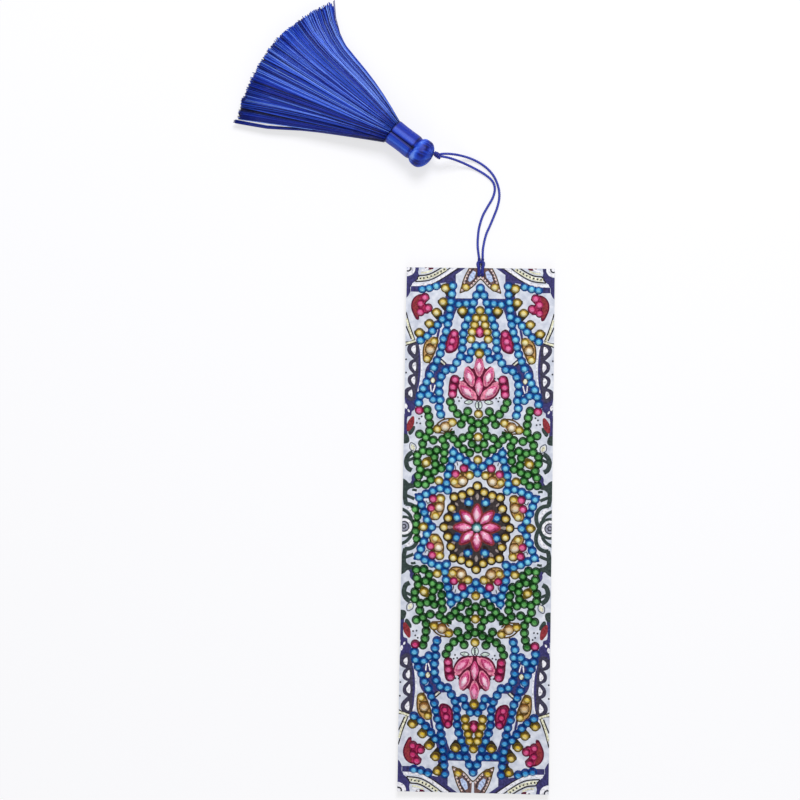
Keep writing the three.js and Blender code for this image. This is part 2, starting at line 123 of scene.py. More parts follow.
def newPaint(name, roughness, **sockets):
    paint = bpy.data.materials.new(name)
    paint.use_nodes = True
    shader = paint.node_tree.nodes["Principled BSDF"]
    values = {socket.replace("_", " "): value for socket, value in sockets.items()}
    fillSockets(paint.node_tree, shader, {"Roughness": roughness, **values})
    return paint, paint.node_tree, shader


# Colour and relief, which every paint has; the distance is the relief's height in metres
def coverPaint(tree, shader, colour, relief, strength, distance):
    bump = addNode(tree, "ShaderNodeBump", {"Height": relief, "Strength": strength, "Distance": distance})
    fillSockets(tree, shader, {"Base Color": colour, "Normal": bump.outputs["Normal"]})


# A material whose colour follows the tone of each face, which carries painted light and shade, with a little
# grain added
def facetPaint(name, roughness, stops, grain, scale, bump, **sockets):
    paint, tree, shader = newPaint(name, roughness, **sockets)
    facet = tree.nodes.new("ShaderNodeAttribute")
    facet.attribute_name = "facetTone"
    flaws = noiseOf(tree, scale)
    tone = mathOf(tree, "MULTIPLY_ADD", flaws, grain, facet.outputs["Fac"])
    colour = rampOf(tree, tone, [(place + grain / 2, colour) for place, colour in stops])
    coverPaint(tree, shader, colour, flaws, bump, 0.00004)
    return paint


def giveTones(mesh, tones):
    values = [min(1, max(0, tone)) for tone in tones]
    mesh.attributes.new("facetTone", "FLOAT", "FACE").data.foreach_set("value", values)


def makePiece(name, mesh, paints, body, nodes=(), smooth=False):
    piece = addObject(name, mesh)
    for paint in paints:
        mesh.materials.append(paint)
    if smooth:
        mesh.shade_smooth()
    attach(piece, body)
    if nodes:
        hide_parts(*nodes)
    return piece


def meshFrom(name, bm, recalc=True):
    if recalc:
        bmesh.ops.recalc_face_normals(bm, faces=bm.faces)
    mesh = bpy.data.meshes.new(name)
    bm.to_mesh(mesh)
    bm.free()
    return mesh


# A flowing line through given points
def smoothPath(points, steps, closed=False):
    places = [Vector((*p, 0)) if len(p) == 2 else Vector(p) for p in points]
    count = len(places)
    flowing = []
    for i in range(count if closed else count - 1):
        a, b = places[i], places[(i + 1) % count]
        before = places[i - 1] if closed or i > 0 else a
        after = places[(i + 2) % count] if closed or i + 2 < count else b
        reach = (b - a).length
        leave = (b - before).normalized() * reach / 3
        arrive = (after - a).normalized() * reach / 3
        flowing += interpolate_bezier(a, a + leave, b - arrive, b, steps + 1)[:-1]
    return flowing if closed else flowing + [places[-1]]


def meshFromCurve(curve):
    holder = addObject(curve.name, curve)
    bpy.context.view_layer.update()
    mesh = bpy.data.meshes.new_from_object(holder.evaluated_get(bpy.context.evaluated_depsgraph_get()))
    bpy.data.objects.remove(holder)
    return mesh


# Cords: one twisted cord, doubled, hitched through the hole and tied into the tassel
cordLook = {"diameter": 1.1, "plies": 3, "plyDepth": 0.1, "cornersAPly": 6, "twistLength": 2.6,
            "sampleLength": 0.2, "endRadius": 0.45, "restLevel": -0.85}
hitchLook = {**cordLook, "diameter": 1.4}
cardEnd = 105
# Places from the card's end in mm; a place without a height rests on the table
rightStrand = [
    (0.7, 4), (0.8, 8.4), (1.9, 13.9), (3.4, 17.6), (5, 21.6), (6.4, 25.6), (7.1, 29.4), (6.8, 33.1),
    (5.2, 37.4), (2.8, 40.6), (-0.6, 43.3), (-4.9, 45.3, -0.2), (-9.4, 46.2, 1.6), (-13.2, 46.3, 3.7),
    (-16.2, 46.1, 4.6), (-17.6, 45.8, 4.7),
]
leftStrand = [
    (-0.7, 4), (-1.4, 9.5), (-1.2, 15), (-0.6, 18.3), (0.6, 22.1), (2.5, 25.7), (4.4, 29.2), (5.2, 32.2),
    (5, 34.5), (3.9, 36.5), (1.9, 38.3), (-1.1, 40.2), (-5, 42.1, -0.2), (-9.2, 43.6, 1.6),
    (-13.3, 44.6, 3.7), (-16.2, 45, 4.6), (-17.6, 45.2, 4.65),
]
hitchRight = [
    (0, 2.5, 0.8), (0.7, 2.4, 0.95), (1.12, 2, 1.5), (1.14, 1.1, 2.25), (0.84, 0, 2.5), (0.66, -1.2, 2.5),
    (0.66, -1.9, 2.5), (0.68, -2.75, 2.1), (0.7, -3, 1.25), (0.7, -3, 0.45), (0.7, -2.75, -0.3),
    (0.7, -1.9, -0.72), (0.68, -0.5, -0.72), (0.68, 4, -0.74),
]
hitchLoop = [(-x, y, z) for x, y, z in reversed(hitchRight[1:])] + hitchRight


def cordPaint(name, tones):
    paint, tree, shader = newPaint(name, 0.45, Sheen_Weight=0.12, Specular_IOR_Level=0.3)
    fibres = noiseOf(tree, 2600, 4)
    coverPaint(tree, shader, rampOf(tree, fibres, tones), fibres, 0.5, 0.00005)
    return paint


# A lobed section turns as it runs along the points, and a round end closes each end of the cord
def twistedCord(name, points, look):
    section = bpy.data.curves.new("cordSection", "CURVE")
    lobes = section.splines.new("POLY")
    corners = look["plies"] * look["cornersAPly"]
    lobes.points.add(corners - 1)
    for i, corner in enumerate(lobes.points):
        angle = 2 * pi * i / corners
        reach = look["diameter"] / 2 * mm * (1 - look["plyDepth"] * (1 - cos(look["plies"] * angle)))
        corner.co = (reach * cos(angle), reach * sin(angle), 0, 1)
    lobes.use_cyclic_u = True
    sectionHolder = addObject("cordSection", section)
    placed = [(x * mm, (y + cardEnd) * mm, (z[0] if z else look["restLevel"]) * mm) for x, y, *z in points]
    steps = max(3, round((Vector(placed[0]) - Vector(placed[1])).length / (look["sampleLength"] * mm)))
    path = smoothPath(placed, steps)
    curve = bpy.data.curves.new(name, "CURVE")
    curve.dimensions = "3D"
    curve.bevel_mode = "OBJECT"
    curve.bevel_object = sectionHolder
    curve.use_fill_caps = True
    spline = curve.splines.new("POLY")
    spline.points.add(len(path) - 1)
    run = 0
    for i, place in enumerate(path):
        run += (place - path[i - 1]).length if i else 0
        spline.points[i].co = (*place, 1)
        spline.points[i].tilt = 2 * pi * run / (look["twistLength"] * mm)
    mesh = meshFromCurve(curve)
    bpy.data.objects.remove(sectionHolder)
    ended = bmesh.new()
    ended.from_mesh(mesh)
    for end in (path[0], path[-1]):
        bmesh.ops.create_uvsphere(ended, u_segments=14, v_segments=8, matrix=Matrix.Translation(end),
                                  radius=look["endRadius"] * look["diameter"] * mm)
    ended.to_mesh(mesh)
    ended.free()
    return mesh, path


strandThread = cordPaint("strandThread", [(0.3, (20, 28, 118)), (0.5, (46, 58, 168)), (0.72, (84, 98, 208))])
hitchThread = cordPaint("hitchThread", [(0.3, (10, 14, 84)), (0.5, (24, 32, 134)), (0.72, (54, 66, 180))])
for name, points, node in (
    ("cordStrandRight", rightStrand, "cord_strand_right"),
    ("cordStrandLeft", leftStrand, "cord_strand_left"),
):
    mesh, path = twistedCord(name, points, cordLook)
    strand = makePiece(name, mesh, [strandThread], "cord", [node], smooth=True)
hitchMesh = twistedCord("cordHitch", hitchLoop, hitchLook)[0]
makePiece("cordHitch", hitchMesh, [hitchThread], "hitch", ["cord_hitch"], smooth=True)
print("cords made")


# Card: leather back, board and printed sheet under a clear film; only the back gets a new shape
def leatherPaint():
    paint, tree, shader = newPaint("leatherBack", 0.62)
    pebble = tree.nodes.new("ShaderNodeTexVoronoi")
    pebble.feature = "SMOOTH_F1"
    place = tree.nodes.new("ShaderNodeTexCoord").outputs["Object"]
    fillSockets(tree, pebble, {"Vector": place, "Scale": 1500, "Smoothness": 0.5})
    between = pebble.outputs["Distance"]
    patches = noiseOf(tree, 120, 5)
    browns = [(0.35, (112, 84, 58)), (0.5, (138, 106, 76)), (0.68, (160, 128, 96))]
    furrows = [(0.0, (255, 255, 255)), (0.75, (150, 130, 110))]
    colour = tree.nodes.new("ShaderNodeMix")
    colour.data_type = "RGBA"
    colour.blend_type = "MULTIPLY"
    fillSockets(tree, colour, {"Factor": 0.45, "A": rampOf(tree, patches, browns),
                               "B": rampOf(tree, between, furrows)})
    coverPaint(tree, shader, colour.outputs["Result"], mathOf(tree, "SUBTRACT", 1, between), 0.6, 0.00012)
    return paint


def boardPaint():
    paint, tree, shader = newPaint("greyBoard", 0.9)
    fibres = noiseOf(tree, 900, 5, (1, 1, 6))
    greys = [(0.3, (160, 154, 142)), (0.7, (202, 197, 186))]
    coverPaint(tree, shader, rampOf(tree, fibres, greys), fibres, 0.4, 0.00005)
    return paint


def pearlPaint(name, coat):
    paint, tree, shader = newPaint(name, 0.4, Coat_Weight=coat, Coat_Roughness=0.3)
    clouds, sparkle = noiseOf(tree, 420, 4), noiseOf(tree, 5200, 2)
    pearls = [(0.3, (190, 196, 213)), (0.5, (211, 216, 230)), (0.7, (231, 234, 244))]
    fillSockets(tree, shader, {"Roughness": rampOf(tree, sparkle, [(0.4, 0.35), (0.6, 0.65)])})
    coverPaint(tree, shader, rampOf(tree, clouds, pearls), sparkle, 0.25, 0.00003)
    return paint


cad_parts["board_core"].data.materials[0] = boardPaint()
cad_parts["print_sheet"].data.materials[0] = pearlPaint("printedSheet", 0.0)
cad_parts["adhesive_film"].data.materials[0] = pearlPaint("clearFilmOverPrint", 0.12)

backLook = {"edgeRound": 0.22, "edgeSteps": 3, "flatAngle": 0.02, "weld": 1e-6}
back = bmesh.new()
back.from_mesh(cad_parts["back_cover"].data)
bmesh.ops.remove_doubles(back, verts=back.verts, dist=backLook["weld"])
bmesh.ops.dissolve_limit(back, angle_limit=backLook["flatAngle"], verts=back.verts, edges=back.edges)
rims = [e for e in back.edges if max(v.co.z for v in e.verts) < 0.0001 and e.calc_face_angle(0) > 1]
bmesh.ops.bevel(back, geom=rims, offset=backLook["edgeRound"] * mm, segments=backLook["edgeSteps"],
                profile=0.5, affect="EDGES", material=-1)
makePiece("leatherBack", meshFrom("leatherBack", back), [leatherPaint()], "card", ["back_cover"])
print("card made")


# Gems: where they stand comes from the rows of the frame, and their cut is made here
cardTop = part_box("adhesive_film")[1].z
# Sizes in mm; a roundness of 2 gives a circle, and less gives a petal, whose length comes with its place
gemCuts = {
    "round": {"width": 3, "roundness": 2, "height": 1.25, "sides": 10, "uneven": 0.09},
    "crystal": {"width": 3.6, "roundness": 2, "height": 1.6, "sides": 12, "uneven": 0.16},
    "petal": {"width": 3.3, "roundness": 1.4, "height": 1.7, "sides": 12, "uneven": 0.26},
}
# Girdle, lower and upper crown: the share of the outline, the rise as a share of the height, the turn
gemSteps = ((1.0, 0.22, 0.0), (0.7, 0.52, 0.5), (0.42, 0.26, 0.5))
# The painted tone of each part, with a painted highlight on the table and painted shade on the girdle, and
# how much darker with painted shade it gets the more it leans to the far side
paintedFacetLight = {"table": (0.74, 0), "girdle": (0.08, 0.08), "upper": (0.6, 0.6), "lower": (0.34, 0.42)}
facetLook = {"sideLean": 0.25, "tableNormal": 0.97, "girdleNormal": 0.1, "upperFrom": 0.72}
# Stones differ a little in turn and tone, and get darker from the middle to the lower end with painted shade
stoneSpread = {"turn": 8, "tone": 0.08, "lowEndDepth": 0.2, "lowEndReach": 80}
# The slot, the ground printed behind, and the dark, the middle and the bright tone of the facets; the dark
# tone holds their painted shade and the bright one their painted highlight
gemLooks = {
    "gemBlue": ("gem_blue", "deepBlue", (4, 30, 104), (22, 136, 212), (150, 238, 255)),
    "gemGreen": ("gem_green", "darkGreen", (0, 36, 4), (26, 108, 34), (126, 214, 118)),
    "gemGold": ("gem_gold", "olive", (86, 58, 2), (226, 190, 50), (255, 254, 206)),
    "gemPink": ("gem_pink", "maroon", (100, 2, 50), (210, 36, 110), (255, 140, 196)),
    "crystalCream": ("crystal_cream", "brown", (134, 86, 36), (228, 194, 138), (255, 252, 236)),
    "crystalRose": ("crystal_rose", "", (196, 50, 112), (246, 128, 182), (255, 240, 250)),
    "gemAqua": ("gem_aqua", "black", (8, 64, 74), (92, 190, 196), (232, 255, 255)),
}
gemPaints = {
    name: facetPaint(name, 0.18, list(zip((0.0, 0.5, 1.0), tones)), 0.06, 3000, 0.1,
                     Coat_Weight=0.35, Coat_Roughness=0.08)
    for name, (slot, ground, *tones) in gemLooks.items()
}


# One stone: an outline pulled up into a girdle, a crown of facets and a small table
def cutGem(cut, length):
    height, sides, roundness = cut["height"] * mm, cut["sides"], cut["roundness"]
    bm = bmesh.new()
    bmesh.ops.create_circle(bm, cap_ends=True, radius=1, segments=sides)
    for v in bm.verts:
        angle = atan2(v.co.y, v.co.x)
        scale = (abs(sin(angle)) ** roundness + abs(cos(angle)) ** roundness) ** (-1 / roundness) * mm / 2
        v.co.x, v.co.y = cut["width"] * cos(angle) * scale, length * sin(angle) * scale
    top = bm.faces[:]
    lastShare = 1.0
    for share, rise, turn in gemSteps:
        grown = bmesh.ops.extrude_face_region(bm, geom=top, use_keep_orig=share == 1.0)["geom"]
        rim = [v for v in grown if isinstance(v, bmesh.types.BMVert)]
        scale = share / lastShare
        spin = Matrix.Rotation(turn * 2 * pi / sides, 4, "Z") if roundness == 2 else Matrix()
        bmesh.ops.transform(bm, verts=rim, matrix=Matrix.Diagonal((scale, scale, 1, 1)) @ spin)
        bmesh.ops.translate(bm, verts=rim, vec=(0, 0, rise * height))
        lastShare = share
        top = [f for f in grown if isinstance(f, bmesh.types.BMFace)]
    bmesh.ops.recalc_face_normals(bm, faces=bm.faces)
    bmesh.ops.triangulate(bm, faces=[f for f in bm.faces if 0.05 < f.normal.z < 0.98])
    bm.normal_update()
    # Each facet gets painted light: a painted highlight on the table, painted shade on the girdle and on
    # facets leaning to the far side
    tones = []
    for f in bm.faces:
        part = "lower"
        if f.normal.z > facetLook["tableNormal"]:
            part = "table"
        elif f.normal.z < facetLook["girdleNormal"]:
            part = "girdle"
        elif f.calc_center_median().z > facetLook["upperFrom"] * height:
            part = "upper"
        level, leanShade = paintedFacetLight[part]
        tones.append(level - leanShade * (f.normal.y + facetLook["sideLean"] * f.normal.x))
    return meshFrom("cutGem", bm, recalc=False), tones


stones = {}


# Each place gives the kind, its length, x and y in mm, the turn in degrees and which of the paints
def setStones(name, places, paints, node):
    bm = bmesh.new()
    allTones, which = [], []
    shuffle = random.Random(name)
    for kind, length, x, y, turn, paintIndex in places:
        if (kind, length) not in stones:
            stones[kind, length] = cutGem(gemCuts[kind], length)
        mesh, tones = stones[kind, length]
        bm.from_mesh(mesh)
        bm.verts.ensure_lookup_table()
        added = bm.verts[-len(mesh.vertices):]
        stray = shuffle.uniform(-stoneSpread["turn"], stoneSpread["turn"]) * (kind == "round")
        turned = Matrix.Rotation(radians(turn + stray), 4, "Z")
        bmesh.ops.transform(bm, verts=added, matrix=Matrix.Translation((x * mm, y * mm, cardTop)) @ turned)
        shade = shuffle.uniform(-stoneSpread["tone"], stoneSpread["tone"])
        # Painted shade, deeper towards the lower end
        shade -= stoneSpread["lowEndDepth"] * max(0, min(1, -y / stoneSpread["lowEndReach"]))
        uneven = gemCuts[kind]["uneven"]
        allTones += [tone + shade + shuffle.uniform(-uneven, uneven) for tone in tones]
        which += [paintIndex] * len(tones)
    mesh = meshFrom(name, bm, recalc=False)
    giveTones(mesh, allTones)
    mesh.polygons.foreach_set("material_index", which)
    makePiece(name, mesh, [gemPaints[paint] for paint in paints], "card", [node])


# Petals as x and y in mm, the turn in degrees and the length; all other stones stand on rows of the frame
flowerReach = 5.5
lilyPetals = [(0, 65, 0, 6.6), (3.9, 60.7, -20, 7.2), (-3.9, 60.7, 20, 7.2), (0, 56.8, 0, 7.8),
              (4.9, 54.7, -47, 7.2), (-4.9, 54.7, 47, 7.2)]
petalPlaces = {
    "centre_flower": [(-flowerReach * sin(a), flowerReach * cos(a), degrees(a), 7.0)
                      for a in (i * pi / 4 for i in range(8))],
    "teardrop_top": [(0, 79, 0, 4.4)],
    "teardrop_bottom": [(0, -79, 0, 4.4)],
    "water_lily_top": lilyPetals,
    "water_lily_bottom": [(x, -y, -turn, length) for x, y, turn, length in lilyPetals],
}
# The paint of each family of nodes; buds and pairs are a large crystal between small gems
nodePaint = {
    "centre_gem": "gemAqua", "centre_flower": "crystalRose", "gold_ring": "gemGold", "blue_star": "gemBlue",
    "green_vine": "gemGreen", "green_edge_row": "gemGreen", "blue_column": "gemBlue",
    "blue_canopy": "gemBlue", "flower_arch": "gemBlue", "gold_arch": "gemGold", "teardrop": "gemPink",
    "water_lily": "crystalRose", "lily_side_row": "gemPink", "pink_pod": "gemPink", "tulip": "gemPink",
    "upper_bud": "bud", "side_bud": "bud", "vine_crystal": "pair", "side_crystal": "pair",
}
# Gems of another colour than the rest of their row, for one quarter
otherGems = {
    "gold_ring": {"gemBlue": [(3.4, 10), (8, 4)]},
    "blue_star": {"gemGold": [(0, 27.2), (15.5, 18.55), (21.4, 0)]},
    "green_vine": {"gemGold": [(0, 45.7), (0, 36.4), (20.7, 25.8)]},
    "blue_column": {"gemPink": [(23.85, 46.85)]},
    "blue_canopy": {"gemGold": [(7.1, 87.5), (5.85, 97.2)]},
    "flower_arch": {"gemGold": [(0, 70.2)]},
    "tulip": {"gemBlue": [(17.9, 97.5), (20.7, 96.7), (23.5, 96.2)],
              "gemGold": [(14.15, 96.6), (15, 91), (17.6, 86.7), (20.35, 82.15), (24.35, 78.4)]},
}
# How the stones are told from a row's solid, heights and distances in mm
rowLook = {"apexAbove": 1.1, "largeAbove": 1.4, "crystalTurn": 15, "sameSpot": 0.4}


# The middle of each gem in a row, from the one point where its facets meet
def apexes(node):
    found = {}
    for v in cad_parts[node].data.vertices:
        if v.co.z > cardTop + rowLook["apexAbove"] * mm:
            key = (round(v.co.x / mm, 2), round(v.co.y / mm, 2))
            found[key] = (v.co.z - cardTop) / mm
    return [(x, y, height) for (x, y), height in sorted(found.items())]


def paintAt(family, x, y):
    for paint, spots in otherGems.get(family, {}).items():
        if any(hypot(abs(x) - sx, abs(y) - sy) < rowLook["sameSpot"] for sx, sy in spots):
            return paint
    return nodePaint[family]


# The radius of the printed ground behind each stone
groundRadius = {"large": 2.2, "black": 2.1, "small": 1.9}
groundPlaces = {}
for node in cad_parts:
    family = next((key for key in nodePaint if node.startswith(key)), None)
    if family is None:
        continue
    words = node.split("_")
    pieceName = words[0] + "".join(word.capitalize() for word in words[1:]) + "Gems"
    look = nodePaint[family]
    if node in petalPlaces:
        places = [("petal", length, x, y, turn, 0) for x, y, turn, length in petalPlaces[node]]
        setStones(pieceName, places, [look], node)
        continue
    found = apexes(node)
    small = sorted((g for g in found if g[2] < rowLook["largeAbove"]), key=lambda g: -hypot(g[0], g[1]))
    places, paints = [], []
    for x, y, height in found:
        kind = "crystal" if height > rowLook["largeAbove"] else "round"
        if look in ("bud", "pair"):
            outer = look == "bud" and kind == "round" and small.index((x, y, height)) < 2
            paint = "crystalCream" if kind == "crystal" else "gemPink" if outer else "gemGold"
        else:
            paint = paintAt(family, x, y)
        if paint not in paints:
            paints.append(paint)
        turn = rowLook["crystalTurn"] if kind == "crystal" else 0
        places.append((kind, gemCuts[kind]["width"], x, y, turn, paints.index(paint)))
        ground = "black" if node == "gold_ring" and paint == "gemGold" else gemLooks[paint][1]
        radius = groundRadius["large" if kind == "crystal" else "black" if ground == "black" else "small"]
        groundPlaces.setdefault(ground, []).append((x, y, radius))
    setStones(pieceName, places, paints, node)
print("gems set")


# Printed picture: every ink is a set of very thin raised areas on the film, at a level of its own.
# Areas of one ink differ a little in height, so that no two surfaces coincide.
printLook = {"step": 0.006, "below": 0.005, "spread": 0.8, "shuffle": 0.618, "curveSteps": 3,
             "lineSteps": 4, "ringSides": 16, "dotSides": 8, "spotSides": 14}
cardHalf = (29.92, 104.92)


def addArea(bm, outline, level, rounded):
    low, high = cardTop - printLook["below"] * mm, cardTop + level * printLook["step"] * mm
    points = [Vector((*p, 0)) for p in outline]
    if rounded:
        points = smoothPath(outline, printLook["curveSteps"], True)
    face = bm.faces.new([bm.verts.new((p.x * mm, p.y * mm, low)) for p in points])
    grown = bmesh.ops.extrude_face_region(bm, geom=[face], use_keep_orig=True)["geom"]
    bmesh.ops.translate(bm, verts=[v for v in grown if isinstance(v, bmesh.types.BMVert)],
                        vec=(0, 0, high - low))


# The outline of a drawn line: one side out and the other back
def lineOutline(points, width):
    path = smoothPath(points, printLook["lineSteps"])
    left, right = [], []
    for i, p in enumerate(path):
        ahead = path[min(i + 1, len(path) - 1)] - path[max(i - 1, 0)]
        side = Vector((-ahead.y, ahead.x, 0)).normalized() * width / 2
        left.append(p + side)
        right.append(p - side)
    return [(p.x, p.y) for p in left + right[::-1]]


def circle(x, y, radius, count):
    return [(x + radius * cos(2 * pi * i / count), y + radius * sin(2 * pi * i / count))
            for i in range(count)]


# A ring as a row of short pieces, which the card's edge can cut
def ringPieces(x, y, radius, width):
    count = printLook["ringSides"]
    outer = circle(x, y, radius + width / 2, count)
    inner = circle(x, y, radius - width / 2, count)
    return [[outer[i - 1], outer[i], inner[i], inner[i - 1]] for i in range(count)]


def rimOf(outline):
    return outline + outline[:1]


# A pointed leaf, its long side turned from X by the given number of degrees
def leaf(x, y, length, width, turn):
    shape = [(-0.5, 0), (-0.25, 0.38), (0, 0.5), (0.25, 0.38), (0.5, 0), (0.25, -0.38), (0, -0.5),
             (-0.25, -0.38)]
    c, s = cos(radians(turn)), sin(radians(turn))
    return [(x + c * u * length - s * v * width, y + s * u * length + c * v * width) for u, v in shape]


# Short strips that join the backs of neighbouring gems
def stripsBetween(places, reach, width):
    strips = []
    for i, (ax, ay, _) in enumerate(places):
        for bx, by, _ in places[i + 1:]:
            length = hypot(bx - ax, by - ay)
            if length < reach:
                sx, sy = (ay - by) / length * width / 2, (bx - ax) / length * width / 2
                strips.append([(ax + sx, ay + sy), (bx + sx, by + sy), (bx - sx, by - sy),
                               (ax - sx, ay - sy)])
    return strips


def inkPaint(name, colour):
    paint, tree, shader = newPaint(name, 0.6, Specular_IOR_Level=0.15)
    mottle = noiseOf(tree, 1100, 4)
    deep = tuple(0.74 * c for c in colour)
    pale = tuple(min(255, 1.14 * c + 5) for c in colour)
    tones = rampOf(tree, mottle, [(0.32, deep), (0.5, colour), (0.7, pale)])
    coverPaint(tree, shader, tones, mottle, 0.2, 0.00003)
    return paint


# Areas, straight-sided areas, lines (width, points), rings (x, y, radius, width) and dots (x, y, radius)
# belong to one quarter and are mirrored to all four. Spots (x, y, radius) and strips stay where they are.
def printInk(name, colour, level, areas=(), straight=(), lines=(), rings=(), dots=(), spots=(), strips=()):
    outlines = [(outline, False) for outline in strips]
    for sx, sy in quarters:
        def flip(points):
            return [(sx * x, sy * y) for x, y in points]
        outlines += [(flip(outline), True) for outline in areas]
        outlines += [(flip(outline), False) for outline in straight]
        outlines += [(lineOutline(flip(points), width), False) for width, points in lines]
        outlines += [(flip(piece), False) for ring in rings for piece in ringPieces(*ring)]
        outlines += [(flip(circle(x, y, radius, printLook["dotSides"])), True) for x, y, radius in dots]
    outlines += [(circle(x, y, radius, printLook["spotSides"]), False) for x, y, radius in spots]
    bm = bmesh.new()
    printed = set()
    for i, (outline, rounded) in enumerate(outlines):
        key = frozenset((round(x, 2), round(y, 2)) for x, y in outline)
        if key not in printed:
            printed.add(key)
            addArea(bm, outline, level + printLook["spread"] * (printLook["shuffle"] * i % 1), rounded)
    bmesh.ops.recalc_face_normals(bm, faces=bm.faces)
    for away in ((1, 0, 0), (-1, 0, 0), (0, 1, 0), (0, -1, 0)):
        edge = Vector(away) * (cardHalf[0] if away[0] else cardHalf[1]) * mm
        everything = bm.verts[:] + bm.edges[:] + bm.faces[:]
        cut = bmesh.ops.bisect_plane(bm, geom=everything, plane_co=edge, plane_no=away,
                                     clear_outer=True)["geom_cut"]
        openEdges = [e for e in cut if isinstance(e, bmesh.types.BMEdge) and len(e.link_faces) == 1]
        bmesh.ops.holes_fill(bm, edges=openEdges, sides=0)
    bmesh.ops.triangulate(bm, faces=[f for f in bm.faces if len(f.verts) > 4])
    makePiece(name, meshFrom(name, bm), [inkPaint(name, colour)], "card")


# Dark grounds: the corner's band, the columns' ground, the scalloped edge and the edge below it
printInk(
    "navyInk", (58, 55, 108), 1,
    straight=[
        [(5.5, 105.4), (10, 102.2), (10, 92.5), (2.9, 92.5), (2, 90), (4.6, 88.6), (9, 88.8), (10.2, 86),
         (11, 83.4), (13.2, 83.6), (15.2, 84.6), (14.4, 88), (14.6, 91.5), (13.6, 94.8), (14, 98.9),
         (16.4, 98.5), (19.4, 95.9), (23, 94.9), (28.2, 95), (28.2, 97.2), (23.6, 97.3), (20.3, 98.1),
         (16.6, 100.4), (12.6, 103.1), (9.4, 105.4)],
        [(24.9, 105.4), (25.3, 103), (24.7, 100.6), (27.3, 98.6), (28.4, 96.8), (28.3, 95), (29.2, 93.2),
         (30.2, 92.2), (30.2, 101.2), (28.9, 101.4), (27.6, 102.6), (26.9, 105.4)],
    ],
    areas=[
        [(24.8, 74.2), (24.2, 72), (23.8, 68), (23.6, 64), (23.8, 60), (24.2, 57), (24.8, 54.5), (24, 50.8),
         (25.2, 48.6), (25.9, 47), (26.9, 46.2), (27.2, 44.6), (29.5, 44.6), (29.6, 50), (30.2, 54.5),
         (28, 55.2), (25.9, 57), (25.4, 60), (25.2, 64), (25.4, 68), (25.8, 71), (26.4, 74.4)],
        [(16.2, 80.2), (17.1, 79), (17.5, 76), (17.3, 73), (16.7, 76), (16.3, 78)],
        [(27.2, 45), (28.6, 44), (28.7, 40), (28.4, 37), (28.7, 34.2), (30.2, 33.6), (30.2, 45)],
        [(15.6, 67), (19, 66.6), (21.2, 64.4), (22, 61.2), (21.4, 57), (19.9, 53.8), (18.2, 53.2),
         (16.8, 55.4), (16.3, 59.6), (15.2, 63.4), (13.6, 65.2)],
    ],
    lines=[
        (1.0, [(9.2, 65.3), (11.4, 65.2), (13.8, 65.4)]),
        (1.8, [(23.1, 21.1), (24.5, 20.9), (25.6, 19.8), (25.6, 18.2), (26.4, 16.8)]),
    ],
)

# The scallops' loops
printInk(
    "loopInk", (62, 60, 82), 1.9,
    areas=[
        [(25, 74.4), (27.4, 74.2), (29, 72.8), (29.1, 70.6), (27.6, 68.6), (25, 66.9), (24.6, 70)],
        [(24.8, 68), (26.4, 67.6), (28.2, 66.4), (28.5, 64.2), (27.4, 62.4), (24.9, 61), (24.6, 64)],
        [(24.8, 62), (26.6, 61.6), (28.4, 60.6), (28.8, 58.8), (28, 57), (25.4, 55.6), (24.8, 58.4)],
        [(25.4, 56.6), (27.6, 56.4), (29.6, 55.4), (30.2, 53.4), (29, 51.4), (26.6, 50.6), (25.4, 53.4)],
    ],
)

# The ornament of curls at the card's long edges
printInk(
    "slateInk", (52, 66, 64), 2.8,
    areas=[
        [(30.2, 19), (28.6, 18.5), (27.6, 17.5), (26.2, 17.3), (25.1, 15.8), (26.8, 15.3), (28, 14.3),
         (28.4, 12.8), (30.2, 12.4)],
        [(25.4, 40.2), (26.4, 37.6), (27.7, 36.8), (28.2, 38.5), (27, 40.2)],
        [(28.4, 36.8), (30.2, 37.1), (30.2, 33.6), (28.6, 33.4), (27.7, 34.2), (27.8, 35.6)],
    ],
    lines=[
        (1.9, [(26.2, 29.9), (27.8, 28.7), (28.7, 26.8), (28.6, 24.8), (27.9, 23.3), (26.5, 22.5)]),
        (1.2, [(25.4, 27.6), (26.8, 27), (28.2, 26.4)]),
        (1.0, [(24.3, 14.4), (25.2, 14.7), (26.2, 14.7)]),
        (1.8, [(29, 14), (29, 11.4), (28.5, 8.8)]),
        (1.3, [(25.2, 11), (26.2, 11.5), (27.4, 12), (29, 12.6)]),
        (1.6, [(28.8, 9), (27, 8.9), (25.2, 8), (24, 6.2), (23.7, 3.8), (24.3, 1.4), (25.3, -0.3)]),
        (1.3, [(25.1, 0), (25.7, 2.2), (26.7, 4.2), (28.2, 5.9), (30.2, 7)]),
    ],
    dots=[(29.2, 0, 4.4)],
)

# The ground inside the gold ring
printInk(
    "duskInk", (58, 50, 52), 2.9,
    straight=[[(-0.2, -0.2), (-0.2, 16.4), (2.9, 14.4), (6, 13.2), (9.4, 12.4), (10.6, 7.9), (11.8, 3.9),
               (13.2, -0.2)]],
)

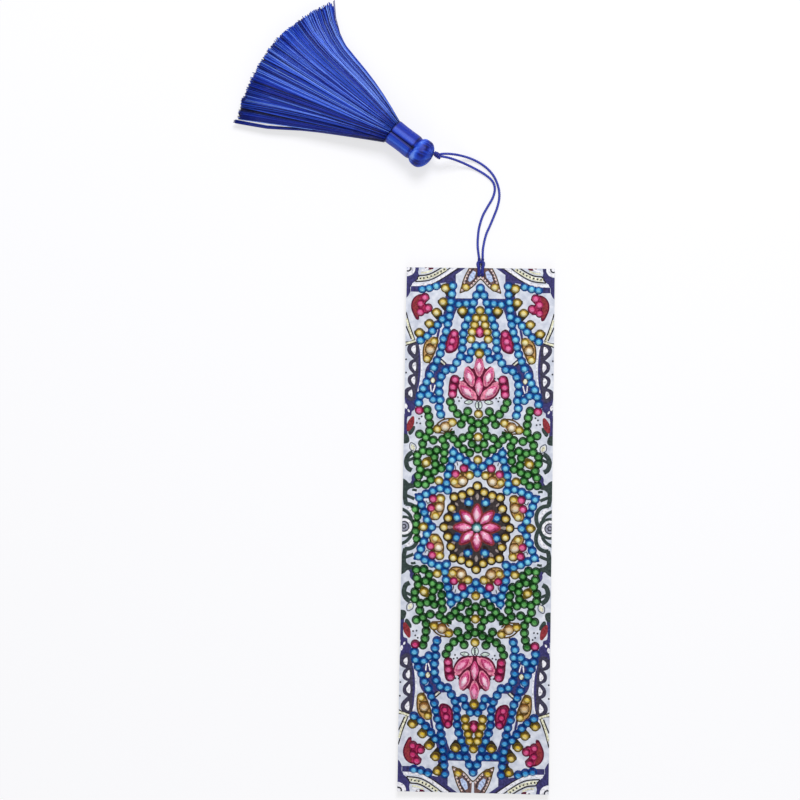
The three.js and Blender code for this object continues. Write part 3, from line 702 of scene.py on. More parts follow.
# Shapes behind the blue and the green gems
printInk(
    "deepBlueInk", (6, 58, 132), 4, spots=groundPlaces["deepBlue"],
    strips=stripsBetween(groundPlaces["deepBlue"], 3.7, 2.6),
    areas=[[(21.8, 12.6), (23.4, 13.3), (25.3, 13), (23.9, 11.4), (22.6, 10.2)],
           [(8.2, 29.6), (9, 31.2), (10.2, 32.6), (10.6, 31), (10.9, 28.8)]],
)
printInk(
    "darkGreenInk", (6, 48, 14), 5, spots=groundPlaces["darkGreen"],
    strips=stripsBetween(groundPlaces["darkGreen"], 3.5, 1.4),
    lines=[
        (1.4, [(9.4, 38.2), (11.2, 37.8), (14.3, 35.2)]), (1.3, [(2.9, 43), (0, 41.8)]),
        (1.3, [(14.6, 23.6), (17.35, 22.4), (20.1, 21.6), (23.7, 20.4)]),
        (1.2, [(18.7, 19), (20.9, 17), (23.9, 17.2)]), (1.2, [(24.3, 26), (23.05, 23.15)]),
        (1.2, [(18.5, 44.9), (20, 44.45), (19.6, 41.5), (21, 36)]),
        (1.1, [(17.5, 28.1), (19.4, 30.1)]), (1.1, [(8.05, 33.5), (5.9, 31.5)]),
    ],
)

# Thin black lines, the gold ring's backs, the leaves between the petals and the chain's drops
dropShapes = [
    [(12.1, 98), (16.2, 97.6), (14.6, 94.8), (12.8, 93.2)],
    [(12.9, 91.8), (17.2, 91.6), (15.6, 88.6), (14, 87.4)],
    [(15.5, 87.4), (19.8, 87.4), (18, 84.2), (16.6, 83.4)],
    [(18.2, 82.8), (22.5, 82.8), (20.8, 79.8), (19, 79.2)],
    [(22.2, 79), (26.5, 79), (25, 76), (22.8, 75.6)],
    [(4.9, 88), (9.3, 88), (7.6, 84.4), (6.6, 84.4)],
]
innerLeaves = [leaf(9.4 * cos(a), 9.4 * sin(a), 3.6, 2.2, degrees(a))
               for a in (pi / 8, 3 * pi / 8)]
printInk(
    "blackInk", (38, 30, 28), 6, areas=innerLeaves + dropShapes, spots=groundPlaces["black"],
    strips=stripsBetween(groundPlaces["black"], 4.6, 2.2),
    lines=[
        (0.5, [(13.6, 0), (15.2, 0), (16.6, 0)]),
        (0.5, [(11.8, 105.3), (15, 103), (18, 101), (21.4, 99.6), (26.4, 99.1)]),
        (0.55, [(15.4, 105.3), (18.4, 103.4), (21.4, 102), (24.9, 101.6)]),
        (0.45, [(26.4, 99.2), (25.6, 100.4), (24.7, 101.7)]),
        (0.4, [(8.3, 105.2), (12.2, 102.6), (16.2, 100), (20.2, 97.9)]),
        (0.5, [(29.9, 86.6), (28.5, 81.6), (26.3, 75.6)]), (0.5, [(29.9, 81), (28.6, 78), (27.6, 75.6)]),
        (0.45, [(26, 75.6), (28, 74.6), (30, 74.4)]), (0.45, [(25.8, 74.3), (27.8, 73.9), (30, 72.9)]),
        (0.5, [(13.3, 65.8), (14.6, 67), (15.8, 68)]), (0.45, [(14.6, 65.2), (16, 66.2), (17, 67)]),
    ],
)

# Red and pink flowers
flowerBacks = [leaf(flowerReach * cos(a), flowerReach * sin(a), 8.6, 4.6, degrees(a))
               for a in (0, pi / 4, pi / 2)]
lilyHalf = [(0, 69.9), (1.5, 67.2), (2.5, 64), (4.6, 65), (6.2, 62.6), (6.4, 59.4), (8.2, 58.4), (8.6, 56.4),
            (7.4, 53.4), (5, 51.4), (0, 51)]
tulipShape = [(20.4, 92.4), (22.5, 93.9), (25, 93.9), (27.3, 92), (28, 89), (27.1, 86), (25, 83.4),
              (24.4, 86.3), (22.5, 86.1), (20.7, 86.3), (21, 88.5), (22, 90.2), (21.3, 91.2)]
printInk(
    "maroonInk", (92, 12, 48), 7, spots=groundPlaces["maroon"], dots=[(0, 0, 3.2), (0, 79, 2.6)],
    strips=stripsBetween(groundPlaces["maroon"], 3.6, 2),
    areas=[
        leaf(21, 104.9, 3.8, 1.7, 8),
        [(9.95, 80), (8.5, 77.8), (8.2, 74.4), (9.1, 71.6), (11.1, 70.2), (13.4, 70.3), (14.1, 72.6),
         (13.2, 76.2), (11.7, 79.3)],
        [(9.9, 61.4), (8.3, 60.4), (8.3, 57.6), (8.7, 54.8), (9, 52.4), (10.6, 51.8), (12.2, 52.6),
         (12.3, 55), (12.1, 58), (11.4, 60.6)],
        tulipShape,
        lilyHalf + [(-x, y) for x, y in lilyHalf[-2:0:-1]],
    ],
)
printInk(
    "crimsonInk", (172, 40, 88), 8,
    areas=[
        [(9.95, 79.2), (9.2, 77.5), (8.95, 74.5), (9.7, 72.2), (11.2, 71), (12.9, 71.1), (13.3, 72.8),
         (12.5, 76), (11.3, 78.6)],
        [(21.4, 92.4), (22.8, 93.3), (24.4, 93.3), (24.9, 90.6), (24.3, 88), (24, 86.9), (22.5, 86.7),
         (21.3, 86.9), (21.6, 88.5), (22.6, 90.2)],
    ],
)
printInk(
    "brickInk", (140, 48, 56), 8.9,
    areas=flowerBacks + [
        [(24.6, 93.3), (26.8, 91.7), (27.4, 89), (26.6, 86.3), (25.2, 84.6), (24.8, 87), (25.2, 90.4)],
        leaf(27.3, 41.3, 6.6, 2.7, -70),
    ],
)
printInk(
    "rosePrintInk", (224, 132, 160), 9.8,
    areas=[leaf(0, 64.8, 8.2, 3.9, 90), leaf(3.9, 60.7, 8.4, 4, 70),
           leaf(4.9, 54.7, 8.4, 4, 43), leaf(2.2, 53.6, 5, 2, 60),
           leaf(6.3, 57.6, 4, 1.8, 35)],
)

# Olive and tan shapes behind the gold gems and the crystals
printInk(
    "oliveInk", (94, 80, 22), 10.7, spots=groundPlaces["olive"],
    areas=[
        leaf(20.6, 25.9, 5.2, 3.9, -58), leaf(0, 70, 4.6, 4, 90),
        leaf(21.6, 0, 3.8, 4.2, 90),
    ],
)
budShapes = [
    [(3.9, 20.6), (3.9, 18.6), (5, 16.7), (7.5, 15.9), (9.6, 16.2), (10.9, 17.6), (11.3, 19.3), (9.6, 20.6),
     (7.4, 21.4), (5, 21.9)],
    [(13.9, 12.7), (13.3, 9.7), (13.3, 7.5), (14, 5.5), (15.3, 3.7), (17.3, 2.9), (18.8, 3.8), (18.2, 6.4),
     (17.4, 9), (16.6, 11.6), (15.4, 13)],
]
printInk(
    "tanInk", (188, 148, 92), 11.6,
    areas=budShapes + [
        [(17.6, 75.8), (19.6, 76.4), (21.8, 75), (22.6, 71.8), (22.4, 68.2), (20.6, 66.3), (19.2, 67.4),
         (18, 70.4)],
        leaf(12.9, 40.8, 8.6, 3.4, -22),
    ],
)
printInk(
    "brownInk", (86, 62, 26), 12.5, spots=groundPlaces["brown"],
    lines=[
        (0.6, rimOf(budShapes[0])), (0.6, rimOf(budShapes[1])),
        (0.6, [(9, 42.6), (11, 43.6), (14, 43.2), (16.3, 41.6), (17.6, 39.4)]),
        (0.6, [(10.4, 39.6), (12.4, 37.9), (15.2, 37.8), (17.4, 37.9)]),
        (0.7, [(17.2, 76.6), (17.2, 73.4), (18, 70.9), (19.2, 68), (20.4, 65.9)]),
        (0.6, [(20.8, 75.6), (22.2, 73.6), (22.7, 70.6), (22.6, 68)]),
        (0.5, [(18.2, 73.4), (20, 74), (21.6, 73.2)]), (0.5, [(18.8, 69.4), (20.4, 69.8), (21.9, 69.2)]),
        (0.5, [(4.3, 105.4), (6, 102.2), (7, 99.6), (7.7, 97), (8.3, 94.7)]),
        (0.5, [(-0.2, 100.6), (1, 99.8), (2.5, 98), (4.5, 96.3), (7, 95.2), (8.3, 94.7)]),
    ],
    rings=[(18.6, 59, 1.0, 0.35)],
    areas=[leaf(6.2, 21.6, 4, 1.3, 70), leaf(16.9, 9.4, 3.6, 1.3, 20)],
)

# Muted leaves inside the gold ring
printInk(
    "mutedLeafInk", (154, 142, 140), 12.9,
    areas=[leaf(10.9, 0, 2.8, 1.3, 0), leaf(6, 11, 2.4, 1.4, 60),
           leaf(0, 12.4, 2.6, 1.4, 90), leaf(9.5, 6.5, 2.2, 1.3, 30),
           leaf(8.2, 9.2, 1.8, 0.9, 48), leaf(2.4, 11.6, 1.4, 0.7, 80)],
)

# Pale bands, spots and leaves
leafBand = [(7.8, 95.2), (7.2, 97.4), (6.6, 99.5), (5.6, 101.9), (4, 105.4), (0.6, 105.4), (0.4, 101),
            (1.4, 100), (2.8, 98.3), (4.7, 96.7), (7, 95.7)]
leafInner = [(2.4, 105.3), (3.9, 103.6), (5.1, 101.4), (5.8, 99.2), (6.2, 97.2), (4.4, 98), (2.8, 99.6),
             (1.6, 101.4), (1.5, 103)]
leafCore = [(1.9, 103.2), (3, 103.9), (4.5, 101.8), (5.1, 99.7), (4.2, 99.1), (2.5, 100.8)]
printInk("leafBandInk", (112, 84, 80), 13.2, straight=[leafBand])
printInk(
    "creamInk", (226, 224, 196), 13.4,
    lines=[
        (1.35, [(14, 104.6), (16.8, 102.9), (19.6, 101.5), (22.4, 100.6), (25.2, 100.2)]),
        (0.7, [(19.6, 103.9), (21.8, 103), (24.2, 102.7)]), (0.8, [(29.7, 84), (28.4, 79.4), (26.8, 75.4)]),
        (0.8, [(26, 75), (28, 74.3), (29.8, 73.8)]), (0.5, [(13.9, 65.5), (15.3, 66.7), (16.3, 67.6)]),
    ],
    areas=[leaf(26.2, 31.9, 2.6, 1.6, 62), leaf(18.6, 59, 2.2, 1.6, 90)],
    dots=[(23.7, 19.2, 0.6)],
)
printInk(
    "whiteInk", (240, 239, 248), 14.3,
    lines=[
        (1.1, [(9.9, 105.2), (13.2, 102.9), (17.2, 100.3), (21.1, 98.4), (24.4, 97.9), (27.6, 97.9)]),
        (0.7, [(21.2, 104.7), (22.8, 103.9), (24.3, 103.6)]),
        (0.45, [(24.3, 73.2), (23.5, 70), (23.2, 65), (23.3, 61), (23.9, 57)]),
        (0.5, [(17.7, 57.2), (18.1, 55.6), (18.6, 54.2)]), (0.5, [(19.5, 57.2), (19.4, 55.8), (19.2, 54.4)]),
    ],
    areas=[
        [(25.9, 73), (26.8, 72.9), (27.6, 71.6), (26.8, 70.2), (26, 69.6)],
        [(25.6, 66.2), (26.5, 66), (27.1, 64.7), (26.4, 63.4), (25.7, 62.8)],
        [(25.9, 60.4), (26.8, 60.2), (27.4, 59), (26.8, 57.8), (26, 57.2)],
        [(27, 55), (28, 54.6), (28.4, 53.4), (27.6, 52.4), (26.9, 52.2)],
        leaf(29.3, 48.4, 2.2, 1.2, 80), leaf(28.2, 46.6, 1.4, 0.8, 60),
        [(24.9, 4.2), (25.4, 6), (26.6, 7.5), (28.4, 7.9), (28.6, 7.3), (27.2, 6.3), (26, 4.6), (25.3, 2.8)],
    ],
    dots=[(29.2, 0, 3.3), (29.4, 104.4, 2.9)],
)
printInk("greyInk", (150, 152, 170), 15.2, dots=[(29.2, 0, 2.2)])
printInk("paleBlueInk", (184, 200, 238), 15.3, straight=[leafCore],
         areas=[leaf(19, 62.2, 2.2, 1.2, 60)])
printInk("paleGreenInk", (206, 224, 214), 15.4,
         areas=[leaf(4, 50.4, 3, 1.1, -6), leaf(0.6, 49.2, 2.6, 1, 90)])

# The pale dots in the leaves' dark bands
leafDots = [(7.5, 95.9), (7, 97.4), (6.5, 98.9), (6.1, 100.3), (5.6, 101.6), (5, 102.8), (4.4, 104),
            (6, 96.3), (4.8, 97), (3.7, 97.9), (2.8, 98.9), (1.9, 99.9), (1, 100.8)]
printInk("rosyDotInk", (236, 204, 196), 15.5, dots=[(x, y, 0.36) for x, y in leafDots])

# The finest dark marks: dots, dashes and the rims of the small leaves
bandDots = [(14.8, 104.3), (16, 103.5), (17.3, 102.7), (18.6, 102), (20, 101.4), (21.5, 100.9), (23, 100.6),
            (24.4, 100.4)]
smallDots = [(8.4, 52.3), (7, 52), (7.9, 50.8), (7.6, 60), (6.3, 60.1), (23.9, 43.4), (24.8, 41.7),
             (23.4, 41.5), (22.9, 44.3), (13.8, 43.9), (29.6, 67.4), (29.5, 62)]
leafRims = [leaf(4, 50.4, 3.6, 1.7, -6), leaf(26.2, 31.9, 3.9, 2.6, 62),
            leaf(0.6, 49.2, 3.3, 1.6, 90)]
printInk(
    "darkDotInk", (46, 48, 60), 16.3,
    dots=[(x, y, 0.36) for x, y in bandDots + smallDots],
    spots=[(0, 0, 2.35)],
    rings=[(29.2, 0, 2.0, 0.45), (29.2, 0, 0.8, 0.45), (29.5, 104.6, 1.2, 0.6)],
    lines=[(0.3, rimOf(outline)) for outline in leafRims] + [
        (0.45, leafInner), (0.35, [(9.9, 25.6), (9, 24.3), (8.9, 23.2)]), (0.35, [(8.4, 26.2), (8, 24.8)]),
        (0.35, [(19.6, 11.6), (18.9, 10.2), (19.6, 9.4)]), (0.35, [(20.6, 10.4), (19.8, 9.2)])],
)
print("picture printed")


# Tassel: everything is laid out along its axis, which runs beside the knot, then turned into place.
# Lengths are in mm, and x runs from the knot towards the tips.
tassel = {"turn": 143, "knot": (-18.2, 150.5, 4.65), "besideKnot": 3.3}
knotPlace = (Matrix.Translation(Vector(tassel["knot"]) * mm)
             @ Matrix.Rotation(radians(tassel["turn"]), 4, "Z") @ Matrix.Scale(mm, 4))
tasselPlace = knotPlace @ Matrix.Translation((0, tassel["besideKnot"], 0))
silkStops = [(0.0, (0, 6, 58)), (0.28, (6, 24, 120)), (0.5, (16, 50, 178)), (0.75, (50, 98, 226)),
             (1.0, (118, 158, 255))]
silk = facetPaint("tasselSilk", 0.45, silkStops, 0.14, 1800, 0.3, Sheen_Weight=0.04, Sheen_Roughness=0.35,
                  Specular_IOR_Level=0.3)


def silkPiece(name, bm, toneOf, nodes):
    bmesh.ops.recalc_face_normals(bm, faces=bm.faces)
    tones = [toneOf(f.calc_center_median()) for f in bm.faces]
    bmesh.ops.transform(bm, matrix=tasselPlace, verts=bm.verts)
    mesh = meshFrom(name, bm, recalc=False)
    giveTones(mesh, tones)
    makePiece(name, mesh, [silk], "tassel", nodes, smooth=True)


def bell(distance, width):
    return exp(-(distance / width) ** 2)


# Soft bands, each with its middle, its width and what it adds
def bandsAt(place, rows):
    return sum(height * bell(place - middle, width) for middle, width, height in rows)


# Head: a ball whose threads run out from the knot at its side, in bundles with creases between them
head = {
    "start": 1.15, "length": 8.2, "width": 12.1, "nearPower": 2.0, "farPower": 3.2, "rings": 56,
    "threads": 84, "threadDepth": 0.12, "bundles": 9, "bundleDepth": 0.05, "bundleSway": 1.3, "swirl": 0.45,
    "creases": (-2.5, -1.1, 0.15, 0.9, 1.75, 2.7), "creaseWidth": 0.035, "creaseDepth": 0.1,
    "creaseFade": 1.6, "edgeFade": 2.5, "inset": 0.05,
}
# Tones of the head, with painted light: painted highlight bands lie along the axis, a painted shade band lies
# between them and streaks break it up, a painted highlight lies on the upper side, and painted shade lies in
# the creases, in the grooves between threads and bundles, round the knot and at the neck
headTones = {
    "base": 0.56, "bundle": 0.07, "thread": 0.22, "crease": 0.12,
    "bands": ((7.5, 1.1, 0.2), (2.3, 0.9, 0.08)),
    "darkMiddle": 4.9, "darkWidth": 1.5, "dark": 0.12, "streak": 0.3, "streaks": 17,
    "neckMiddle": 9.3, "neckWidth": 0.5, "neck": 0.3, "pole": 0.4, "poleWidth": 0.3,
    "patch": 0.3, "patchWidth": 0.36, "patchSide": (0.35, 0.64, 0.68),
}
headMiddle = Vector((head["start"] + head["length"] / 2, 0, 0))
headHalf = (head["length"] / 2, head["width"] / 2)
toKnot = (Vector((0, -tassel["besideKnot"], 0)) - headMiddle).normalized()
poleTurn = Vector((0, 0, 1)).rotation_difference(toKnot).to_matrix()


def headThread(outward):
    ahead = poleTurn.inverted() @ outward
    fromPole = acos(max(-1, min(1, ahead.z)))
    around = atan2(ahead.y, ahead.x) + head["swirl"] * sin(fromPole)
    fine = abs(sin(head["threads"] / 2 * around))
    bundle = sin(head["bundles"] * around + head["bundleSway"] * sin(3 * fromPole))
    crease = sum(bell(sin((around - c) / 2), head["creaseWidth"]) for c in head["creases"])
    return fromPole, fine, bundle, crease * min(1, head["creaseFade"] * sin(fromPole))


headBm = bmesh.new()
bmesh.ops.create_uvsphere(headBm, u_segments=head["threads"] * 3, v_segments=head["rings"], radius=1)
for v in headBm.verts:
    outward = (poleTurn @ v.co).normalized()
    power = head["nearPower"] if outward.x < 0 else head["farPower"]
    across = hypot(outward.y, outward.z)
    reach = ((abs(outward.x) / headHalf[0]) ** power + (across / headHalf[1]) ** power) ** (-1 / power)
    fromPole, fine, bundle, crease = headThread(outward)
    relief = -head["threadDepth"] * (1 - fine) + head["bundleDepth"] * bundle - head["inset"]
    reach += min(1, head["edgeFade"] * sin(fromPole)) * relief - head["creaseDepth"] * crease
    v.co = headMiddle + outward * reach


# The head's tone: threads and bundles with painted shade in their grooves and creases, painted highlight
# bands and patch, and painted shade across the middle, round the knot and at the neck
def headTone(place):
    look = headTones
    outward = (place - headMiddle).normalized()
    fromPole, fine, bundle, crease = headThread(outward)
    streak = 0.5 + 0.5 * sin(look["streaks"] * atan2(place.z, place.y) + 2 * bundle)
    tone = look["base"] + look["bundle"] * bundle + look["thread"] * (fine - 0.6) - look["crease"] * crease
    tone += bandsAt(place.x, look["bands"])
    tone -= (look["dark"] + look["streak"] * streak) * bell(place.x - look["darkMiddle"], look["darkWidth"])
    tone += look["patch"] * bell((outward - Vector(look["patchSide"])).length, look["patchWidth"])
    tone -= look["pole"] * bell(fromPole, look["poleWidth"])
    return tone - look["neck"] * bell(place.x - look["neckMiddle"], look["neckWidth"])


silkPiece("tasselHead", headBm, headTone, ["tassel_head"])

# Binding: fine wraps round the neck, with a deep crease along the middle of its upper side
binding = {
    "start": 9.65, "length": 10.8, "width": 10.6, "waist": 0.2, "wraps": 34, "samplesAWrap": 3,
    "groove": 0.035, "shoulders": ((0, 0.08, 0.16), (1, 0.05, 0.12)), "creaseAngle": 1.3, "creaseDepth": 0.5,
    "creaseWidth": 0.07, "creasedDepth": 1.2, "lapRise": 0.28, "lapDip": 0.4, "lapFall": 1.4,
    "endGap": 0.05, "turnSteps": 120, "collar": ((-1.5, 3.9), (-1.4, 4.5), (-0.9, 4.85), (-0.4, 5.0)),
}
# Painted light of the binding: its lit and shaded sides, painted highlight bands on both sides of the crease
# and painted shade in the crease, then painted shade in bands at both ends along the axis, with the grain of
# the laps and wraps
bindingTones = {
    "lit": 0.52, "shaded": 0.44, "across": ((-0.5, 0.2, 0.24), (0.4, 0.18, 0.2)), "crease": 0.42,
    "creaseMiddle": 0.03, "creaseWidth": 0.07, "creaseSpread": 0.06, "lapGrain": (0.04, 23),
    "wrapGrain": (0.02, 97), "along": ((-0.02, 0.05, -0.3), (1, 0.04, -0.35)),
}
bindingRadius = binding["width"] / 2
bindingEnd = binding["start"] + binding["length"]
bindingSteps = binding["wraps"] * binding["samplesAWrap"]
bindingProfile = [(binding["start"] + along, radius) for along, radius in binding["collar"]]
for i in range(bindingSteps + 1):
    share = i / bindingSteps
    inset = binding["waist"] * (1 - (2 * share - 1) ** 2) + bandsAt(share, binding["shoulders"])
    if i % binding["samplesAWrap"] == 0:
        inset += binding["groove"]
    along = binding["start"] + binding["endGap"] + share * (binding["length"] - 2 * binding["endGap"])
    bindingProfile.append((along, bindingRadius - inset))
bindingProfile += [(bindingEnd, bindingRadius - 0.3), (bindingEnd, 4.2)]
bindingBm = bmesh.new()
rim = [bindingBm.verts.new((x, r, 0)) for x, r in bindingProfile]
rimEdges = [bindingBm.edges.new(pair) for pair in zip(rim, rim[1:] + rim[:1])]
bmesh.ops.spin(bindingBm, geom=rim + rimEdges, cent=(0, 0, 0), axis=(1, 0, 0), angle=2 * pi,
               steps=binding["turnSteps"], use_merge=True)
for v in bindingBm.verts:
    radius = hypot(v.co.y, v.co.z)
    if radius > bindingRadius - binding["creasedDepth"]:
        past = atan2(v.co.z, v.co.y) - binding["creaseAngle"]
        lap = 1 if past < 0 else -binding["lapDip"]
        step = binding["lapRise"] * exp(-abs(past) * binding["lapFall"]) * lap
        step -= binding["creaseDepth"] * bell(past, binding["creaseWidth"])
        v.co.y, v.co.z = v.co.y * (1 + step / radius), v.co.z * (1 + step / radius)


# Painted light and shade of the binding, as set out in its tones
def bindingTone(place):
    past = atan2(place.z, place.y) - binding["creaseAngle"]
    share = (place.x - binding["start"]) / binding["length"]
    look = bindingTones
    tone = (look["lit"] if past < 0 else look["shaded"]) + bandsAt(past, look["across"])
    width = look["creaseWidth"] + look["creaseSpread"] * (1 - share)
    tone -= look["crease"] * bell(past - look["creaseMiddle"], width)
    (lapDepth, laps), (wrapDepth, wraps) = look["lapGrain"], look["wrapGrain"]
    tone += lapDepth * sin(laps * past + 2 * share) + wrapDepth * sin(wraps * share)
    return tone + bandsAt(share, look["along"])


silkPiece("neckBinding", bindingBm, bindingTone, ["neck_binding"])

# Skirt: locks of fine threads that fan out, each lock with its own bend, tone and cut
skirt = {
    "locks": 156, "bundles": 12, "threadsInBundle": 3, "threadWidth": 0.36, "samples": 10,
    "rootStart": 20.75, "rootRadius": 4.9, "lockReach": 4.5, "bundleHalf": 0.42, "rootLow": 1.14,
    "rootHigh": 1.03, "length": 61.5, "skew": 0.03, "fanHalf": 29.8, "fanLean": 3, "fanEdge": 0.94,
    "tipThickness": 4.8, "tipMiddle": -3.35, "rootSpread": 0.93, "tipNarrow": 0.5, "upperBend": 0.17,
    "edgeBend": 0.8, "kinkAt": 0.67, "slitAt": 0.78, "slitWidth": 0.17, "strayFrom": 0.68,
    "cutWave": 1.2, "cutWaves": 5,
}
# Tones: the middle of a lock, and the painted light and shade they add across the fan, upwards and within a
# lock: lighter towards the fan's upper edge, and painted shade on the deeper locks and on the deeper threads
# of a bundle
skirtTones = {"lock": 0.34, "across": -0.12, "up": 0.17, "thread": 0.12}
# How far locks, bundles and threads differ from each other
vary = {"lockTone": 0.04, "bow": 0.45, "clump": (0.35, 0.95), "cut": (-0.4, 0.8), "bundleTone": 0.13,
        "bundleCut": 0.7, "angle": 0.25, "length": 0.3, "wave": 0.25, "threadTone": 0.25}
# Threads that lie loose beside the lower edge, and stray ones beyond the upper edge
loose = {"count": 40, "fan": 0.95, "side": 4.7, "length": 63.4, "slit": 1.3, "tone": 0.3}
strays = {"count": 2, "fan": -0.93, "side": -4.6, "length": 59.5, "reach": (1.6, 2.4), "tone": 0.3}
goldenAngle = 2.39996
rootRadius = skirt["rootRadius"]


# One thread from its place in the root, with its own bow and wave, and for a few a slit or a stray end
def threadPath(y0, z0, spread, length, bow, wave, phase, slit=0, stray=0):
    upperEdge = max(0, -y0 / rootRadius) ** 2
    rootWidth = skirt["rootLow"] if y0 > 0 else skirt["rootHigh"]
    zEnd = skirt["tipMiddle"] + z0 * skirt["tipThickness"] / (2 * rootRadius)
    path = []
    for i in range(skirt["samples"]):
        t = i / (skirt["samples"] - 1)
        run = length * t
        angle = spread * (skirt["rootSpread"] + (1 - skirt["rootSpread"]) * t)
        if spread < 0:
            angle = spread * (1 - skirt["upperBend"] * sin(pi * t ** 1.7))
        kink = (t / skirt["kinkAt"]) ** 1.7 if t < skirt["kinkAt"] else (1 - t) / (1 - skirt["kinkAt"])
        y = y0 * (rootWidth * (1 - t) + skirt["tipNarrow"] * t) + run * sin(angle)
        y += upperEdge * skirt["edgeBend"] * kink
        y += bow * sin(pi * t) + wave * t * sin(3 * t + phase)
        y += slit * bell(t - skirt["slitAt"], skirt["slitWidth"])
        y -= stray * max(0, (t - skirt["strayFrom"]) / (1 - skirt["strayFrom"])) ** 1.3
        z = z0 + (zEnd - z0) * t ** 0.9 + 0.1 * t * sin(4 * t + phase)
        path.append(Vector((skirt["rootStart"] + run * cos(angle), y, z)))
    return path


# A thread is a three-sided strip with closed ends
def addThread(verts, faces, tones, path, width, tone):
    first, last = len(verts), len(path) - 1
    for i, place in enumerate(path):
        ahead = path[min(i + 1, last)] - path[max(i - 1, 0)]
        side = Vector((-ahead.y, ahead.x, 0)).normalized()
        for across, rise in ((1, -0.5), (0, 1), (-1, -0.5)):
            offset = side * across + Vector((0, 0, rise))
            verts.append(tasselPlace @ (place + offset * width / 2))
    for i in range(last):
        a = first + 3 * i
        # Painted shade near the root, under the binding, and a painted highlight along the middle of each
        # thread; the cap at the tip is a little lighter
        along = -0.12 * bell(i / last, 0.12) + 0.06 * sin(3.1 * i / last)
        for j in range(3):
            k = (j + 1) % 3
            faces.append((a + j, a + k, a + 3 + k, a + 3 + j))
            tones.append(tone + along)
    end = first + 3 * last
    faces += [(first + 2, first + 1, first), (end, end + 1, end + 2)]
    tones += [tone, tone + 0.1]


def fanAngle(share):
    return radians(skirt["fanLean"] + skirt["fanHalf"] * share)


shuffle = random.Random(5)
locks = []
for i in range(skirt["locks"]):
    reach, around = skirt["lockReach"] * sqrt((i + 0.5) / skirt["locks"]), goldenAngle * i
    locks.append((reach * sin(around), reach * cos(around)))
locks.sort()
third = len(locks) // 3
for number, name in enumerate(("skirtThreadsLow", "skirtThreadsMiddle", "skirtThreadsTop")):
    verts, faces, tones = [], [], []
    for z0, y0 in locks[number * third:(number + 1) * third]:
        share = y0 / rootRadius
        # Painted light: lighter towards the fan's upper edge, and painted shade on the deeper locks
        lockTone = skirtTones["lock"] + skirtTones["across"] * share + skirtTones["up"] * z0 / rootRadius
        lockTone += shuffle.gauss(0, vary["lockTone"])
        bow, clump = shuffle.gauss(0, vary["bow"]), shuffle.uniform(*vary["clump"])
        cut = skirt["cutWave"] * abs(sin(skirt["cutWaves"] * fanAngle(share))) + shuffle.uniform(*vary["cut"])
        lockLength = skirt["length"] * (1 + skirt["skew"] * share) - cut
        for bundle in range(skirt["bundles"]):
            bundleTone = lockTone + shuffle.gauss(0, vary["bundleTone"])
            bundleCut = shuffle.uniform(-vary["bundleCut"], vary["bundleCut"])
            for _ in range(skirt["threadsInBundle"]):
                u = 2 * (bundle + shuffle.random()) / skirt["bundles"] - 1
                v = shuffle.uniform(-1, 1)
                spread = fanAngle(share + 0.5 * clump * u / rootRadius)
                spread += radians(shuffle.gauss(0, vary["angle"]))
                length = lockLength + bundleCut + shuffle.gauss(0, vary["length"])
                path = threadPath(y0 + skirt["bundleHalf"] * u, z0 + skirt["bundleHalf"] * v,
                                  min(spread, fanAngle(skirt["fanEdge"])), length, bow,
                                  shuffle.uniform(0, vary["wave"]), shuffle.uniform(0, 6.28))
                # Painted shade on the deeper threads of a bundle, and a tone of its own at random
                threadTone = bundleTone + skirtTones["thread"] * v + shuffle.gauss(0, vary["threadTone"])
                addThread(verts, faces, tones, path, skirt["threadWidth"], threadTone)
    if name == "skirtThreadsTop":
        for _ in range(loose["count"]):
            spread = fanAngle(loose["fan"] + shuffle.uniform(-0.02, 0.02))
            path = threadPath(loose["side"], shuffle.uniform(-1.4, 0.4), spread,
                              loose["length"] + shuffle.gauss(0, 0.5), 0, shuffle.uniform(0, 0.2),
                              shuffle.uniform(0, 6.28), slit=loose["slit"])
            addThread(verts, faces, tones, path, skirt["threadWidth"], loose["tone"] + shuffle.gauss(0, 0.1))
        for _ in range(strays["count"]):
            path = threadPath(strays["side"], shuffle.uniform(-1, 1), fanAngle(strays["fan"]),
                              strays["length"] + shuffle.uniform(-2, 0), 0, 0.2, shuffle.uniform(0, 6.28),
                              stray=shuffle.uniform(*strays["reach"]))
            addThread(verts, faces, tones, path, 0.8 * skirt["threadWidth"], strays["tone"])
    mesh = bpy.data.meshes.new(name)
    mesh.from_pydata(verts, [], faces)
    giveTones(mesh, tones)
    makePiece(name, mesh, [silk], "tassel", ["tassel_skirt"], smooth=True)

# Knot: the cord wound round itself where it enters the head
knot = {"halfLength": 1.3, "radius": 0.72, "winds": 3.4, "steps": 44}
knotWinds = []
for i in range(knot["steps"] + 1):
    share = i / knot["steps"]
    angle = 2 * pi * knot["winds"] * share
    radius = knot["radius"] * (0.75 + 0.25 * sin(pi * share))
    along = (2 * share - 1) * knot["halfLength"]
    place = knotPlace @ Vector((along, radius * cos(angle), radius * sin(angle))) / mm
    knotWinds.append((place.x, place.y - cardEnd, place.z))
knotMesh = twistedCord("tasselKnot", knotWinds, {**cordLook, "sampleLength": 0.12})[0]
makePiece("tasselKnot", knotMesh, [hitchThread], "tassel", ["tassel_knot"], smooth=True)
print("tassel made")


# Floor and soft studio light
studio = {"floorLevel": -1.42, "floorHalf": 4, "floorTone": (0.84, 0.84, 0.9, 1), "floorGlow": 1.08,
          "glowShare": 0.62, "skyLight": 0.34}
white = (1, 1, 1, 1)


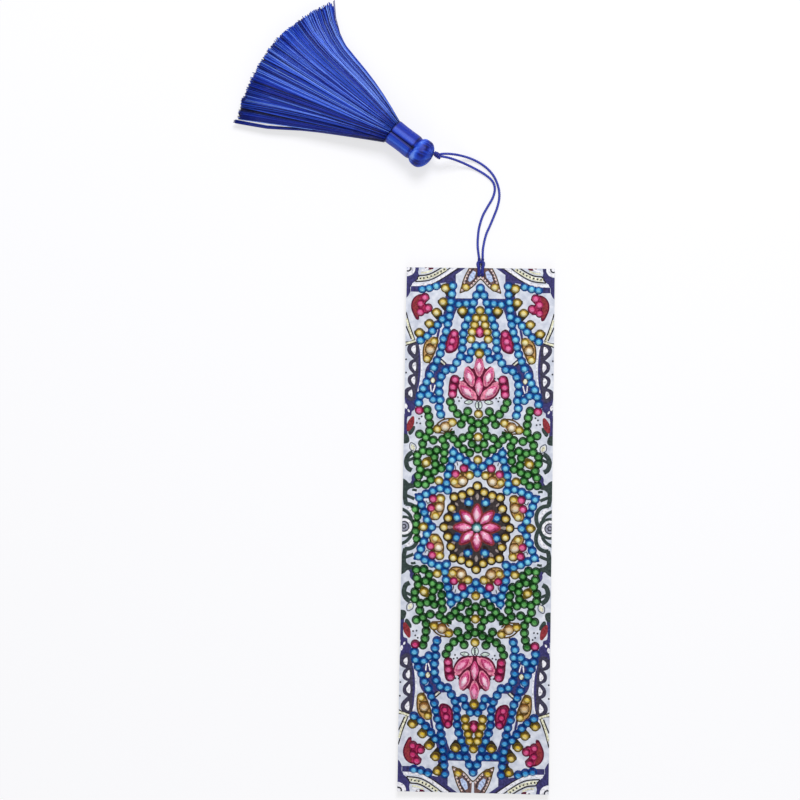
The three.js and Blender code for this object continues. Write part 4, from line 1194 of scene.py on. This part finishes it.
# A matt floor that also glows for the camera, in mirrors and through glass
def floorPaint():
    paint = bpy.data.materials.new("paleFloor")
    paint.use_nodes = True
    tree = paint.node_tree
    tree.nodes.clear()
    rays = tree.nodes.new("ShaderNodeLightPath").outputs
    seen = rays["Is Camera Ray"]
    for ray in ("Is Glossy Ray", "Is Transmission Ray"):
        seen = mathOf(tree, "MAXIMUM", seen, rays[ray])
    matt = addNode(tree, "ShaderNodeBsdfDiffuse", {"Color": studio["floorTone"]})
    glow = addNode(tree, "ShaderNodeEmission", {"Color": white, "Strength": studio["floorGlow"]})
    mix = addNode(tree, "ShaderNodeMixShader", {
        "Fac": mathOf(tree, "MULTIPLY", seen, studio["glowShare"]), 1: matt.outputs["BSDF"],
        2: glow.outputs["Emission"]})
    addNode(tree, "ShaderNodeOutputMaterial", {"Surface": mix.outputs["Shader"]})
    return paint


floorBm = bmesh.new()
bmesh.ops.create_grid(floorBm, x_segments=1, y_segments=1, size=studio["floorHalf"])
bmesh.ops.translate(floorBm, verts=floorBm.verts, vec=(0, 0, studio["floorLevel"] * mm))
floor = addObject("floor", meshFrom("floor", floorBm))
floor.data.materials.append(floorPaint())

world = bpy.data.worlds.new("paleStudio")
bpy.context.scene.world = world
world.use_nodes = True
sky = world.node_tree
sky.nodes.clear()
seenDirectly = sky.nodes.new("ShaderNodeLightPath").outputs["Is Camera Ray"]
dim = addNode(sky, "ShaderNodeMapRange", {"Value": seenDirectly, "To Min": studio["skyLight"], "To Max": 1.0})
skyGlow = addNode(sky, "ShaderNodeBackground", {"Color": white, "Strength": dim.outputs["Result"]})
addNode(sky, "ShaderNodeOutputWorld", {"Surface": skyGlow.outputs["Background"]})

lamps = {
    "frontSoftbox": {"place": (0.15, -0.9, 0.75), "aim": (0, 0.05, 0), "size": 0.7, "power": 2.6},
    "topSoftbox": {"place": (0.1, 0.75, 0.95), "aim": (0, 0.05, 0), "size": 0.5, "power": 10.0},
}
for name, lamp in lamps.items():
    light = bpy.data.lights.new(name, "AREA")
    light.size = lamp["size"]
    light.energy = lamp["power"]
    holder = addObject(name, light)
    holder.location = lamp["place"]
    away = Vector(lamp["place"]) - Vector(lamp["aim"])
    holder.rotation_euler = away.to_track_quat("Z", "Y").to_euler()
bpy.context.scene.view_settings.view_transform = "Standard"

print("scene ready")
